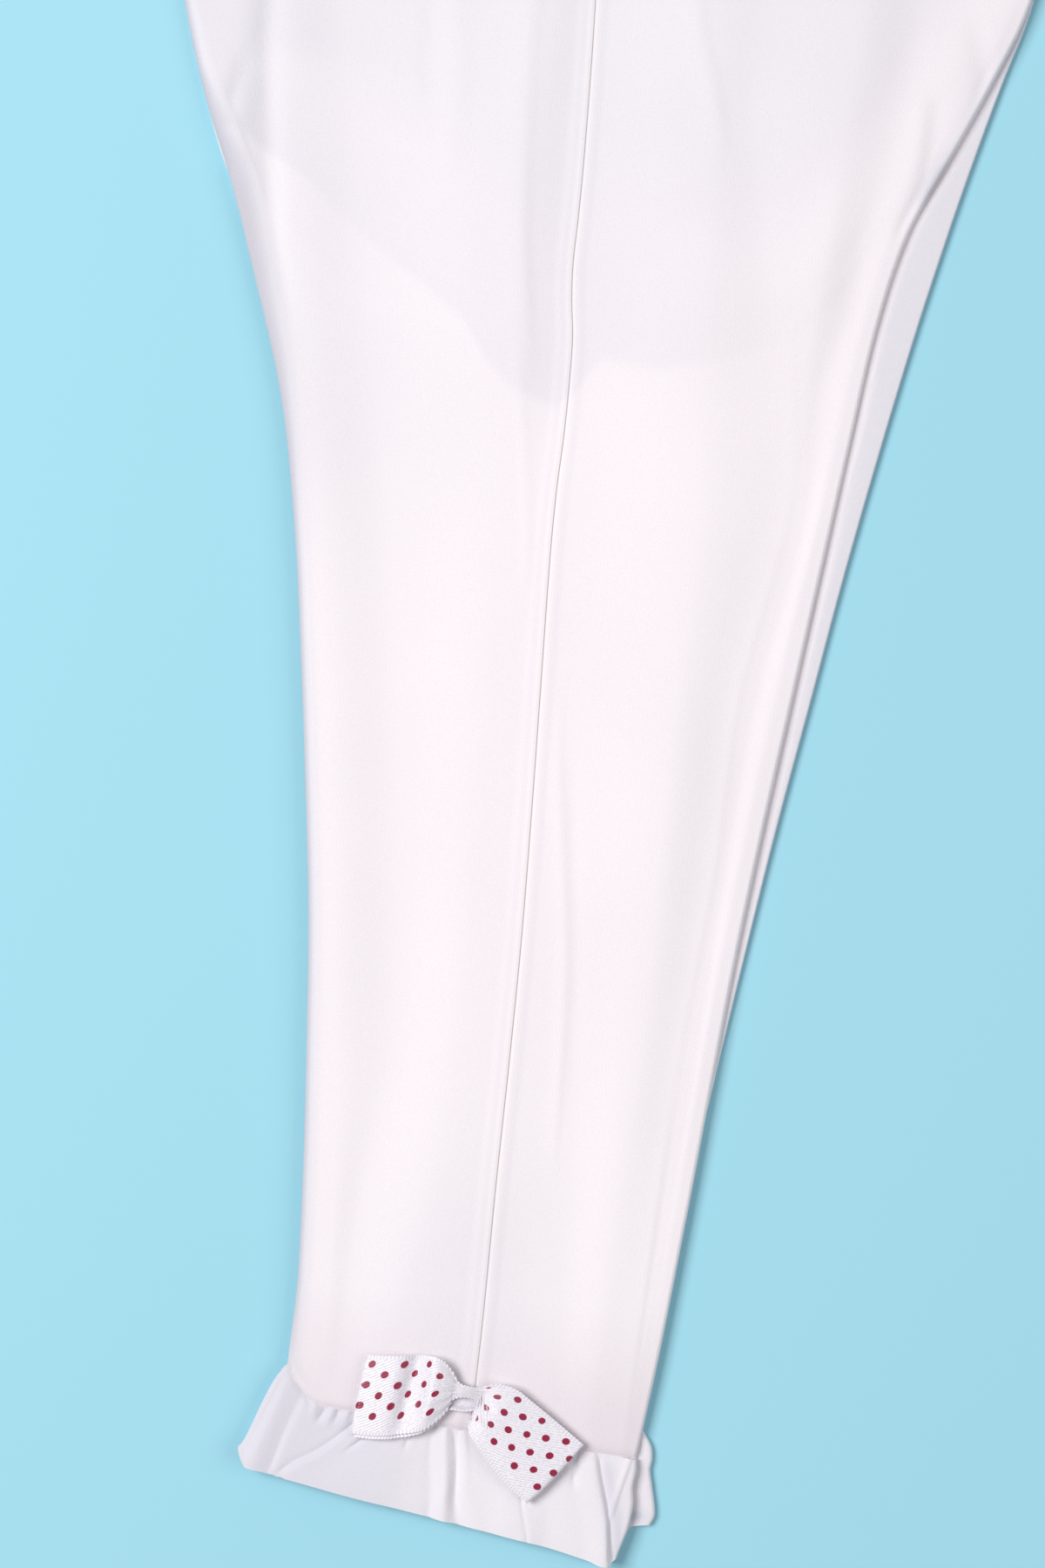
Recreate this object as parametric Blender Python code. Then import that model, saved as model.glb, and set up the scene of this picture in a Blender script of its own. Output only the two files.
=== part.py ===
"""A child's pull-on capri leggings with a gathered hem ruffle and a ribbon bow.

They lie on their side, folded in half along the centre front and centre back: the left
half is on top with its outseam down the middle, and the right half is beneath. +Y runs
to the waist, +X to the seat, +Z up, and the origin is on the floor under the crotch.

Every piece is a wall of cloth. Its middle surface is worked out as rows of points from
the tables below, and a Solidify modifier gives it its thickness.
"""

import math
from collections import namedtuple

import bpy

MM = 0.001  # the sizes below are in millimetres

# The knit and how its layers lie on each other.
WALL = 1.2
LAYER_GAP = 0.4
SEAM_GAP = 0.3
CENTRE_GAP = 0.6  # at the folds, where the walls of the two halves end at a slant
PITCH = WALL + LAYER_GAP
RIGHT_OUTER = WALL / 2  # height of the middle of each layer, from the floor up
RIGHT_INNER = RIGHT_OUTER + PITCH
LEFT_INNER = RIGHT_INNER + PITCH
LEFT_OUTER = LEFT_INNER + PITCH

# The side view, a row for each height above the crotch. The last two columns are the
# edges of the right leg, which lies beneath and shows past the left one at the back.
SideRow = namedtuple("SideRow", "y front outseam back right_front right_back")
SIDE_VIEW = tuple(SideRow(*row) for row in (
    (-336, -78.0, -20.0, 32.4, -75.0, 33.0),
    (-300, -77.1, -19.0, 37.4, -74.5, 36.6),
    (-260, -78.3, -18.6, 42.0, -75.5, 41.0),
    (-220, -80.7, -17.8, 46.0, -77.5, 46.6),
    (-180, -83.6, -17.3, 50.1, -79.5, 52.7),
    (-140, -88.0, -17.6, 55.0, -82.5, 59.1),
    (-100, -92.9, -18.2, 60.4, -86.0, 66.2),
    (-60, -98.4, -18.8, 65.8, -90.0, 73.2),
    (-20, -106.1, -18.6, 71.2, -96.5, 81.0),
    (18, -118.0, -18.9, 76.6, -110.5, 89.0),
    (47, -128.0, -19.2, 83.6, -128.0, 95.8),
    (70, -137.4, -19.3, 94.0, -137.4, 101.6),
    (96, -145.8, -19.6, 105.6, -145.8, 108.7),
    (122, -151.6, -20.2, 115.6, -151.6, 116.4),
    (142, -152.6, -20.5, 119.0, -152.6, 119.0),
    (164, -146.0, -20.8, 116.0, -146.0, 116.0),
    (185, -135.0, -21.0, 109.0, -135.0, 109.0),
))

# The crotch seam, from where it meets the front edge, down to the inseam and up to
# where it meets the back edge.
SeamPoint = namedtuple("SeamPoint", "x y")
CROTCH_CURVE = tuple(SeamPoint(*row) for row in (
    (-127.0, 47),
    (-108.0, 30),
    (-92.0, 16),
    (-66.0, 7),
    (-34.0, 2),
    (0.0, 0),
    (28.0, 3),
    (50.0, 12),
    (64.0, 28),
    (77.0, 52),
    (92.0, 80),
    (105.5, 105),
    (115.0, 122),
))
FRONT_JOIN = CROTCH_CURVE[0].y
BACK_JOIN = CROTCH_CURVE[-1].y
INSEAM_HEM_X = -18.0

# Heights of the rows of points.
LEFT_HEM = -334.6
RIGHT_HEM = -325.0
WAIST = 185
CROTCH_ROWS = (3, 8, 16, 28, 47, 60, 80, 100, 122)
HIP_ROWS = (136, 150, 162, 174, WAIST)

# The hem falls towards the back and curls up at the front fold; the waist rises.
HEM_SLOPE = -0.082
HEM_REACH = 70
HEM_CURL = 10
HEM_CURL_FROM = -65
HEM_CURL_WIDTH = 12
WAIST_SLOPE = 0.136
WAIST_FROM = 110

# Soft relief of the top layer.
PILLOW = 1.5  # each leg panel swells between its seam and its fold
HIP_PILLOW_SHARE = 0.4
PILLOW_FROM_HEM = 60
EDGE_ROLL = 0.8  # the cloth stands up a little where it turns at a fold
ROLL_WIDTH = 8
LARGEST_TURN = 2.0
SUPPORT_BEYOND = 12  # the top layer stays up this far past the crotch seam
SUPPORT_FALL = 28
HIP_LOFT = 1.5
LOFT_MARGIN = 1 / 6  # share of a panel's width over which the loft dies out
CREASE_MARGIN = 1 / 10
BAND_RISE_FROM = 150
Fold = namedtuple("Fold", "low_x low_y high_x high_y half_width height")
FOLD_FADE = 0.35  # share of its length over which a fold dies out downwards
FOLDS = tuple(Fold(*row) for row in (
    (-123, 50, -120, 168, 7, -1.3),
    (-99, 60, -105, 174, 8, -1.2),
    (-74, 118, -79, 178, 7, -0.9),
    (-54, 128, -57, 180, 6, -0.9),
    (-29, 48, -36, 184, 8, -1.3),
    (-4, 68, -8, 188, 7, -1.1),
    (31, 34, 22, 190, 8, -1.3),
    (50, 130, 47, 194, 6, -0.9),
    (64, 40, 72, 196, 9, -1.5),
    (92, 112, 89, 200, 7, -1.0),
))

# The elastic casing at the waist.
BAND_HEIGHT = 27
BAND_WALL = 2.2
BAND_LOW = BAND_WALL / 2
BAND_HIGH = BAND_LOW + BAND_WALL + LAYER_GAP
BAND_NARROWS = 2
BAND_ROWS = 3
BAND_GATHERS = 22
BAND_GATHER_STEPS = 3
BAND_UNDER_STEPS = 14
BAND_GATHER_HEIGHT = 0.6

# The ruffles: each is a strip gathered round the hem. Its ends flare past the leg by
# these amounts at a share of the way down.
RUFFLE_EDGE_Y = -352.3  # the lower edge at the front, from where it falls
RUFFLE_EDGE_X = -83.0
RUFFLE_EDGE_SLOPE = -0.181
RUFFLE_ROWS = 5
Flare = namedtuple("Flare", "down front back")
RUFFLE_FLARE = tuple(Flare(*row) for row in (
    (0.0, 0.0, 0.0),
    (0.15, 3.4, 0.3),
    (0.35, 6.2, -0.3),
    (0.6, 9.0, 0.2),
    (0.85, 12.6, -0.8),
    (1.0, 10.5, -3.6),
))
RIGHT_RUFFLE_RISE = 9
RIGHT_RUFFLE_FLARE = 6.0
RIGHT_RUFFLE_INSET = 4.0
RUFFLE_GAP = 0.4
TURN_GAP = 0.8  # more where the hem curls up at the front fold
# How much of the waves each layer keeps, from the floor up: they die out downwards.
LAYER_WAVE = {"right_lower": 0.0, "right_upper": 0.2, "left_lower": 0.45, "left_upper": 1.0}
# Gathers of the top layer: where each crest leaves the seam and where it reaches the
# lower edge, with its half width and height there.
Gather = namedtuple("Gather", "seam_x edge_x half_width height")
SEAM_HALF_WIDTH = 2.2
SEAM_HEIGHT_SHARE = 0.2
GATHERS = tuple(Gather(*row) for row in (
    (-74, -86, 4.0, 2.4),
    (-66, -72, 5.5, 2.8),
    (-54, -55, 6.5, 2.6),
    (-43, -39, 6.0, 2.0),
    (-33, -25, 5.5, 1.7),
    (-22, -12, 5.0, 1.6),
    (-8, -1, 4.5, 1.5),
    (3, 8, 4.5, 1.7),
    (15, 17, 4.0, 2.2),
    (25, 24, 3.5, 2.6),
))

# The bow, as sections across the ribbon from its left loop's end to its right loop's end:
# the upper and lower edge of the front layer, the height of the back layer, how far the
# front layer is above it, and how much the front layer arches where it is pinched.
RIBBON_WALL = 1.0
BACK_PEEK = 1.2  # the back layer shows this far below the left loop
RIBBON_STEPS = 4
LOOP_STEPS = 4
LEFT_LOOP_OUT = (-1.0, 0.12)
RIGHT_LOOP_OUT = (0.76, -0.65)
BowSection = namedtuple("BowSection", "upper_x upper_y lower_x lower_y back_z rise arch")
BOW_SECTIONS = tuple(BowSection(*row) for row in (
    (-53.6, -313.4, -56.6, -338.0, 7.9, 2.2, 0.0),
    (-42.0, -312.2, -45.5, -337.2, 7.8, 2.8, 0.3),
    (-32.4, -311.6, -34.6, -336.2, 7.6, 3.0, 0.8),
    (-25.5, -316.0, -26.8, -331.6, 7.4, 2.4, 1.6),
    (-18.0, -321.0, -18.6, -327.6, 7.2, 1.6, 0.6),
    (-10.9, -318.8, -19.6, -333.4, 7.5, 2.4, 1.6),
    (-3.0, -322.0, -15.0, -340.2, 8.1, 3.0, 0.8),
    (5.6, -327.2, -8.9, -346.9, 8.7, 2.8, 0.3),
    (15.8, -335.3, -0.7, -354.3, 9.3, 2.2, 0.0),
))

# Colours, as the photo shows them, and how matt each cloth is.
KNIT = (0.86, 0.84, 0.85)
RUFFLE_KNIT = (0.82, 0.81, 0.84)
SATIN = (0.84, 0.82, 0.88)
KNIT_ROUGHNESS = 0.85
SATIN_ROUGHNESS = 0.4


def clear_scene():
    for found in list(bpy.data.objects):
        bpy.data.objects.remove(found, do_unlink=True)


def smooth(t):
    t = min(1.0, max(0.0, t))
    return t * t * (3 - 2 * t)


def between(rows, key, at, value):
    """Reads a table along straight lines: the value where the key column is at."""
    pairs = [(getattr(row, key), getattr(row, value)) for row in rows]
    if at <= pairs[0][0]:
        return pairs[0][1]
    for (low, a), (high, b) in zip(pairs, pairs[1:]):
        if at <= high:
            return a + (b - a) * (at - low) / (high - low)
    return pairs[-1][1]


def side(name, y):
    """An edge of the side view at height y, on a smooth curve through the table."""
    last = len(SIDE_VIEW) - 1
    y = min(max(y, SIDE_VIEW[0].y), SIDE_VIEW[last].y)
    i = next(i for i in range(last) if y <= SIDE_VIEW[i + 1].y)
    rows = [SIDE_VIEW[min(last, max(0, i + k))] for k in (-1, 0, 1, 2)]
    (y0, x0), (y1, x1), (y2, x2), (y3, x3) = [(row.y, getattr(row, name)) for row in rows]
    span = y2 - y1
    slope_1 = (x2 - x0) / (y2 - y0) * span
    slope_2 = (x3 - x1) / (y3 - y1) * span
    t = (y - y1) / span
    bend = (t**3 - 2 * t**2 + t) * slope_1 + (t**3 - t**2) * slope_2
    return x1 + (x2 - x1) * smooth(t) + bend


def crotch_reach(y, forward):
    """Where the crotch seam is at height y, towards the front (-1) or the back (1)."""
    if y <= 0:
        return INSEAM_HEM_X * y / LEFT_HEM + forward * SEAM_GAP / 2
    half = [point for point in CROTCH_CURVE if point.x * forward >= 0]
    return between(sorted(half, key=lambda point: point.y), "y", y, "x")


def tilted(x, y, hem):
    """The real height of a point on the row at y: hem and waist aren't level."""
    near_hem = 1 - smooth((y - hem) / HEM_REACH)
    drop = HEM_SLOPE * (x - side("outseam", hem))
    if hem == LEFT_HEM:
        curl = min(1.3, max(0.0, (HEM_CURL_FROM - x) / HEM_CURL_WIDTH))
        drop += HEM_CURL * curl**2
    near_waist = smooth((y - WAIST_FROM) / (WAIST - WAIST_FROM))
    rise = WAIST_SLOPE * (x - side("outseam", WAIST))
    return y + near_hem * drop + near_waist * rise


def fold_relief(x, y):
    """The folds that hang from the waist, as soft troughs along their lines."""
    total = 0.0
    for low_x, low_y, high_x, high_y, half_width, height in FOLDS:
        share = (y - low_y) / (high_y - low_y)
        off = x - (low_x + (high_x - low_x) * share)
        fade = smooth(share / FOLD_FADE)
        total += height * fade * math.exp(-((off / half_width) ** 2))
    return total


def support(x, y):
    """1 where four layers lie on each other, falling to 0 where there are two."""
    past = y - between(CROTCH_CURVE, "x", x, "y") - SUPPORT_BEYOND
    return 1 - smooth(past / SUPPORT_FALL)


def top_height(x, y):
    """The middle of the top layer, before the roll along its folds."""
    legs = support(x, y)
    near_waist = smooth((y - BAND_RISE_FROM) / (WAIST - BAND_RISE_FROM))
    hips = RIGHT_INNER + (BAND_HIGH - RIGHT_INNER) * near_waist
    flat = hips + (LEFT_OUTER - hips) * legs
    seam = side("outseam", y)
    fold = side("front" if x < seam else "back", y)
    share = min(1.0, max(0.0, (x - seam) / (fold - seam)))
    swell = PILLOW * math.sin(math.pi * share) * smooth((y - LEFT_HEM) / PILLOW_FROM_HEM)
    swell *= HIP_PILLOW_SHARE + (1 - HIP_PILLOW_SHARE) * legs
    loft = HIP_LOFT * (1 - legs)
    loft *= smooth(share / LOFT_MARGIN) * smooth((1 - share) / LOFT_MARGIN)
    creases = fold_relief(x, y) * smooth((1 - share) / CREASE_MARGIN)
    return flat + max(0.0, swell + loft + creases)


def seam_plane(x, y):
    """The height at which the left half meets the right along the centre seams."""
    low = (RIGHT_OUTER + RIGHT_INNER) / 2
    high = (RIGHT_INNER + LEFT_INNER) / 2
    return low + (high - low) * support(x, y)


def panel_row(y, half, forward, run_steps, arc_steps, under_steps):
    """One row of a panel, from the outseam round the fold to the inseam.

    half is 1 for the left half, on top, and -1 for the right half. forward is -1 for a
    front panel and 1 for a back one. Returns the points to the middle of the fold, and
    those past it, which only a row below the join of the centre seam has.
    """
    hem = LEFT_HEM if half > 0 else RIGHT_HEM
    column = ("" if half > 0 else "right_") + ("front" if forward < 0 else "back")
    edge = side(column, y) - forward * WALL / 2
    seam = side("outseam", y) + forward * SEAM_GAP / 2
    joined = y > (FRONT_JOIN if forward < 0 else BACK_JOIN)
    inner = LEFT_INNER if half > 0 else RIGHT_INNER
    roll = EDGE_ROLL if half > 0 else 0.0

    def outer(x):
        return top_height(x, y) if half > 0 else RIGHT_OUTER

    outer_edge = outer(edge) + roll
    if joined:
        end = seam_plane(edge, y) + half * CENTRE_GAP / 2
        radius = abs(outer_edge - end)
    else:
        radius = abs(outer_edge - inner) / 2
    start = edge - forward * min(radius, LARGEST_TURN)
    flat_end = start - forward * ROLL_WIDTH
    xs = [seam + (flat_end - seam) * i / run_steps for i in range(run_steps + 1)]
    before = [(x, outer(x)) for x in xs]
    half_way = start - forward * ROLL_WIDTH / 2
    before.append((half_way, outer(half_way) + roll / 2))
    turn = abs(edge - start)
    for i in range(arc_steps + 1):
        angle = math.pi / 2 * i / arc_steps
        z = outer_edge - half * radius * (1 - math.cos(angle))
        before.append((start + forward * turn * math.sin(angle), z))
    after = []
    if not joined:
        for i in range(1, arc_steps + 1):
            angle = math.pi / 2 * (1 + i / arc_steps)
            z = outer_edge - half * radius * (1 - math.cos(angle))
            after.append((start + forward * turn * math.sin(angle), z))
        reach = crotch_reach(y, forward)
        least = start - forward * WALL
        reach = min(reach, least) if forward > 0 else max(reach, least)
        for i in range(1, under_steps + 1):
            after.append((start + (reach - start) * i / under_steps, inner))
    return [
        [(x, tilted(x, y, hem), z) for x, z in points] for points in (before, after)
    ]


def cloth(name, points, faces, wall, color, roughness):
    """Makes a node from its middle surface."""
    mesh = bpy.data.meshes.new(name)
    mesh.from_pydata([tuple(c * MM for c in p) for p in points], [], faces)
    mesh.shade_smooth()
    piece = bpy.data.objects.new(name, mesh)
    bpy.context.collection.objects.link(piece)
    thick = piece.modifiers.new("wall", "SOLIDIFY")
    thick.thickness = wall * MM
    thick.offset = 0
    thick.use_even_offset = False
    thick.use_quality_normals = True
    material = bpy.data.materials.new(name)
    material.use_nodes = True
    shader = material.node_tree.nodes["Principled BSDF"]
    shader.inputs["Base Color"].default_value = (*color, 1)
    shader.inputs["Roughness"].default_value = roughness
    shader.inputs["Metallic"].default_value = 0
    mesh.materials.append(material)
    return piece


def joined_faces(rows):
    """Quads between neighbouring rows, over the columns that both rows have."""
    faces = []
    for low, high in zip(rows, rows[1:]):
        for i in range(min(len(low), len(high)) - 1):
            faces.append((low[i], low[i + 1], high[i + 1], high[i]))
    return faces


def half_turn(steps, radius):
    """How far out and how far round each point inside a half turn is."""
    for i in range(1, steps):
        angle = math.pi * i / steps
        yield radius * math.sin(angle), radius * (1 - math.cos(angle))


def make_panel(half, forward, leg_steps, run_steps, arc_steps, under_steps):
    name = ("left" if half > 0 else "right") + ("_front" if forward < 0 else "_back")
    hem = LEFT_HEM if half > 0 else RIGHT_HEM
    heights = [hem * (1 - i / leg_steps) for i in range(leg_steps + 1)]
    heights += list(CROTCH_ROWS) + list(HIP_ROWS)
    points, rows = [], []
    for y in heights:
        before, after = panel_row(y, half, forward, run_steps, arc_steps, under_steps)
        line = before + after
        rows.append(range(len(points), len(points) + len(line)))
        points += line
    return cloth(name, points, joined_faces(rows), WALL, KNIT, KNIT_ROUGHNESS)


def make_waistband(turn_steps):
    """The casing is a flat ring: its top layer is gathered and its lower one is flat."""
    radius = (BAND_HIGH - BAND_LOW) / 2
    front = side("front", WAIST) + BAND_WALL / 2 + radius
    back = side("back", WAIST) - BAND_WALL / 2 - radius
    # Each column of points: its share of the width, how far past it, and its height.
    columns = []
    steps = BAND_GATHERS * BAND_GATHER_STEPS
    for i in range(steps + 1):
        wave = math.sin(math.pi * BAND_GATHERS * i / steps) ** 2
        columns.append((i / steps, 0, BAND_HIGH + BAND_GATHER_HEIGHT * wave))
    columns += [(1, out, BAND_HIGH - down) for out, down in half_turn(turn_steps, radius)]
    for i in range(BAND_UNDER_STEPS + 1):
        columns.append((1 - i / BAND_UNDER_STEPS, 0, BAND_LOW))
    columns += [(0, -out, BAND_LOW + up) for out, up in half_turn(turn_steps, radius)]
    points, rows = [], []
    for k in range(BAND_ROWS + 1):
        up = k / BAND_ROWS
        inset = BAND_NARROWS * up
        row = []
        for across, out, z in columns:
            x = front + inset + (back - front - 2 * inset) * across + out
            level = WAIST_SLOPE * (x - side("outseam", WAIST))
            row.append(len(points))
            points.append((x, WAIST + SEAM_GAP + BAND_HEIGHT * up + level, z))
        rows.append(row + row[:1])
    faces = joined_faces(rows)
    return cloth("waistband", points, faces, BAND_WALL, KNIT, KNIT_ROUGHNESS)


def ruffle_wave(x, v):
    """How far the gathers lift the top layer at x, at a share of the way down."""
    total = 0.0
    for seam_x, edge_x, half_width, height in GATHERS:
        crest = seam_x + (edge_x - seam_x) * v
        width = SEAM_HALF_WIDTH + (half_width - SEAM_HALF_WIDTH) * v
        share = SEAM_HEIGHT_SHARE + (1 - SEAM_HEIGHT_SHARE) * v
        total += height * share * math.exp(-(((x - crest) / width) ** 2))
    return total


def ruffle_edge_y(x):
    return RUFFLE_EDGE_Y + RUFFLE_EDGE_SLOPE * (x - RUFFLE_EDGE_X)


def hem_below(x, hem):
    """Where a ruffle's seam is at x, just below the hem that it is sewn to."""
    under_hem = min(max(x, side("front", hem)), side("back", hem))
    turning = smooth((HEM_CURL_FROM - x) / HEM_CURL_WIDTH)
    return tilted(under_hem, hem, hem) - RUFFLE_GAP - TURN_GAP * turning


def make_ruffle(half, upper_steps, lower_steps, turn_steps):
    """A gathered ring, whose two layers lie on each other."""
    left = half > 0
    name = "left" if left else "right"
    hem = LEFT_HEM if left else RIGHT_HEM
    upper_z, lower_z = (LEFT_OUTER, LEFT_INNER) if left else (RIGHT_INNER, RIGHT_OUTER)
    inset, flare, rise = 0.0, 0.0, 0.0
    if not left:
        inset, flare, rise = RIGHT_RUFFLE_INSET, RIGHT_RUFFLE_FLARE, RIGHT_RUFFLE_RISE

    def upper(x, v):
        return upper_z + LAYER_WAVE[name + "_upper"] * ruffle_wave(x, v)

    def lower(x, v):
        return lower_z + LAYER_WAVE[name + "_lower"] * ruffle_wave(x, v)

    points, rows = [], []
    for k in range(RUFFLE_ROWS + 1):
        v = k / RUFFLE_ROWS
        front = side("front", LEFT_HEM) - between(RUFFLE_FLARE, "down", v, "front") + inset
        back = side("back", LEFT_HEM) + between(RUFFLE_FLARE, "down", v, "back") + flare * v
        front_turn = (upper(front, v) - lower(front, v)) / 2
        back_turn = (upper(back, v) - lower(back, v)) / 2
        start = front + WALL / 2 + front_turn
        stop = back - WALL / 2 - back_turn
        line = []
        for i in range(upper_steps + 1):
            x = start + (stop - start) * i / upper_steps
            line.append((x, upper(x, v)))
        top = line[-1][1]
        turn = (top - lower(stop, v)) / 2
        line += [(stop + out, top - down) for out, down in half_turn(turn_steps, turn)]
        for i in range(lower_steps + 1):
            x = stop + (start - stop) * i / lower_steps
            line.append((x, lower(x, v)))
        bottom = line[-1][1]
        turn = (upper(start, v) - bottom) / 2
        line += [(start - out, bottom + up) for out, up in half_turn(turn_steps, turn)]
        row = []
        for x, z in line:
            seam_y = hem_below(x, hem)
            row.append(len(points))
            points.append((x, seam_y + (ruffle_edge_y(x) + rise - seam_y) * v, z))
        rows.append(row + row[:1])
    faces = joined_faces(rows)
    return cloth(name + "_ruffle", points, faces, WALL, RUFFLE_KNIT, KNIT_ROUGHNESS)


def loop_end(front, back, out):
    """Sections round the end of a loop, from the front layer to the back one."""
    sections = []
    for i in range(1, LOOP_STEPS):
        turn = math.pi * i / LOOP_STEPS
        section = []
        for (x0, y0, z0), (x1, y1, z1) in zip(front, back):
            share = (1 - math.cos(turn)) / 2
            push = (z0 - z1) / 2 * math.sin(turn)
            x = x0 + (x1 - x0) * share + out[0] * push
            y = y0 + (y1 - y0) * share + out[1] * push
            section.append((x, y, z0 + (z1 - z0) * share))
        sections.append(section)
    return sections


def make_bow():
    """One closed ribbon: along the front layer, round a loop's end and back behind."""
    front, back = [], []
    for i, cut in enumerate(BOW_SECTIONS):
        peek = BACK_PEEK * (1 - i / (len(BOW_SECTIONS) - 1))
        front_line, back_line = [], []
        for k in range(RIBBON_STEPS + 1):
            share = k / RIBBON_STEPS
            arch = cut.arch * (1 - (2 * share - 1) ** 2)
            x = cut.upper_x + (cut.lower_x - cut.upper_x) * share
            y = cut.upper_y + (cut.lower_y - cut.upper_y) * share
            front_line.append((x, y, cut.back_z + cut.rise + arch))
            back_line.append((x, y - peek, cut.back_z))
        front.append(front_line)
        back.append(back_line)
    ribbon = front + loop_end(front[-1], back[-1], RIGHT_LOOP_OUT)
    ribbon += back[::-1] + loop_end(front[0], back[0], LEFT_LOOP_OUT)[::-1]
    points, rows = [], []
    for section in ribbon:
        rows.append(range(len(points), len(points) + len(section)))
        points += section
    rows.append(rows[0])
    faces = joined_faces(rows)
    return cloth("left_bow", points, faces, RIBBON_WALL, SATIN, SATIN_ROUGHNESS)


clear_scene()
for half, leg_steps, run_steps, turn_steps, under_steps in (
    (1, 12, 14, 3, 4),  # the left half, on top
    (-1, 12, 5, 2, 3),  # the right half, beneath
):
    for forward in (-1, 1):
        make_panel(half, forward, leg_steps, run_steps, turn_steps, under_steps)
make_waistband(turn_steps=6)
make_ruffle(1, upper_steps=40, lower_steps=22, turn_steps=6)
make_ruffle(-1, upper_steps=22, lower_steps=12, turn_steps=6)
make_bow()
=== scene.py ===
import math
from collections import namedtuple

import bpy
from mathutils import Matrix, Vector


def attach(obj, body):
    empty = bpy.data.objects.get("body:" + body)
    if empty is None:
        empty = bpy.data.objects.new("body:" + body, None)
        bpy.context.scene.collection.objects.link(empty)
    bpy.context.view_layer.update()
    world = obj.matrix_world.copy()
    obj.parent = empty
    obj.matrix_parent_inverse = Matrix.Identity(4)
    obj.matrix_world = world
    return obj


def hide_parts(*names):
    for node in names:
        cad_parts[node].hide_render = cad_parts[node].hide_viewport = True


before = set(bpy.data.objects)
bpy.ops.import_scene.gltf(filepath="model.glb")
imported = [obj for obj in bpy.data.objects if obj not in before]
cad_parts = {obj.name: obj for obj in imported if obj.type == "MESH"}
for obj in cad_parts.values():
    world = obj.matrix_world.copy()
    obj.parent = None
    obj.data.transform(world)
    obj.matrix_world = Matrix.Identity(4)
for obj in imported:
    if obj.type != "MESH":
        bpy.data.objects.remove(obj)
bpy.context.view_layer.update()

# The left leg, on top: a front and a back panel, each of one layer of white cotton jersey.
# They are sewn together down the outseam, lie folded at the centre front and the centre
# back, and go round those folds to the inseam and the crotch seam beneath.
MM = 0.001  # the sizes below are in millimetres
KNIT_WALL = 1.0
PITCH = 1.6  # from one layer of cloth to the next
RIGHT_OUTER = KNIT_WALL / 2
RIGHT_INNER = RIGHT_OUTER + PITCH
LEFT_INNER = RIGHT_INNER + PITCH
LEFT_OUTER = LEFT_INNER + PITCH
SEAM_GAP = 0.3  # between pieces that are sewn together
CENTRE_GAP = 0.6  # and between the left and the right half

# The side view, a row for each height above the crotch.
SideRow = namedtuple("SideRow", "y front outseam back right_front right_back")
SIDE_VIEW = tuple(SideRow(*row) for row in (
    (-336, -78.0, -20.0, 32.4, -75.0, 33.0),
    (-300, -77.1, -19.0, 37.4, -74.5, 36.6),
    (-260, -78.3, -18.6, 42.0, -75.5, 41.0),
    (-220, -80.7, -17.8, 46.0, -77.5, 46.6),
    (-180, -83.6, -17.3, 50.1, -79.5, 52.7),
    (-140, -88.0, -17.6, 55.0, -82.5, 59.1),
    (-100, -92.9, -18.2, 60.4, -86.0, 66.2),
    (-60, -98.4, -18.8, 65.8, -90.0, 73.2),
    (-20, -106.1, -18.6, 71.2, -96.5, 81.0),
    (18, -118.0, -18.9, 76.6, -110.5, 89.0),
    (47, -128.0, -19.2, 83.6, -128.0, 95.8),
    (70, -137.4, -19.3, 94.0, -137.4, 101.6),
    (96, -145.8, -19.6, 105.6, -145.8, 108.7),
    (122, -151.6, -20.2, 115.6, -151.6, 116.4),
    (142, -152.6, -20.5, 119.0, -152.6, 119.0),
    (164, -146.0, -20.8, 116.0, -146.0, 116.0),
    (185, -135.0, -21.0, 109.0, -135.0, 109.0),
))
LEFT_HEM = -334.6
RIGHT_HEM = -325.0
WAIST = 185
# The crotch seam as places x, y, from the front edge to the back edge.
CROTCH_CURVE = (
    (-127.0, 47), (-108.0, 30), (-92.0, 16), (-66.0, 7), (-34.0, 2), (0.0, 0), (28.0, 3),
    (50.0, 12), (64.0, 28), (77.0, 52), (92.0, 80), (105.5, 105), (115.0, 122),
)
FRONT_JOIN = 47  # above this height the halves meet in the front fold
BACK_JOIN = 122  # and above this one in the back fold
INSEAM_HEM_X = -18.0
# How far the outseam strays from its line as the cloth is laid down, by height.
SEAM_SWAY = (
    (-335, 0.3), (-60, 0.3), (-40, 0.5), (-25, 1.1), (-8, 1.4), (6, 1.3), (18, 0.1), (29, -0.3),
    (42, 0.2), (60, 0.5), (185, 0.3),
)
# The hem and the waist slope across the leg, and the hem's front end curls.
HEM_SLOPE = -0.082
HEM_REACH = 70
HEM_CURL = 10
HEM_CURL_FROM = -65
HEM_CURL_WIDTH = 12
HEM_CURL_MOST = 1.3
WAIST_SLOPE = 0.136
WAIST_FROM = 110

# How high the top layer stands.
HIP_REST = 1.9  # the hips' loose cloth, above the cloth beneath
SUPPORT_BEYOND = 6  # it sinks from four layers of cloth to two above the crotch seam
SUPPORT_FALL = 45
BAND_RISE_FROM = 140  # from here it rises to the waistband's upper layer
BAND_WALL = 2.2
BAND_INSIDE = 0.4
BAND_LOW = BAND_WALL / 2
BAND_HIGH = BAND_LOW + BAND_WALL + BAND_INSIDE
WAIST_RELIEF = 0.35  # the share of the relief that is left at the waist
HEM_RELIEF = 0.45  # and at the hem
HEM_RELIEF_RUN = 30
CREASE_MARGIN = {-1: 1 / 14, 1: 1 / 30}  # where the creases die out before a fold
ROLL_WIDTH = 5  # the columns are closer together beside a fold
FLATNESS = 1.5  # how much wider than high the folds' edges are
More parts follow.
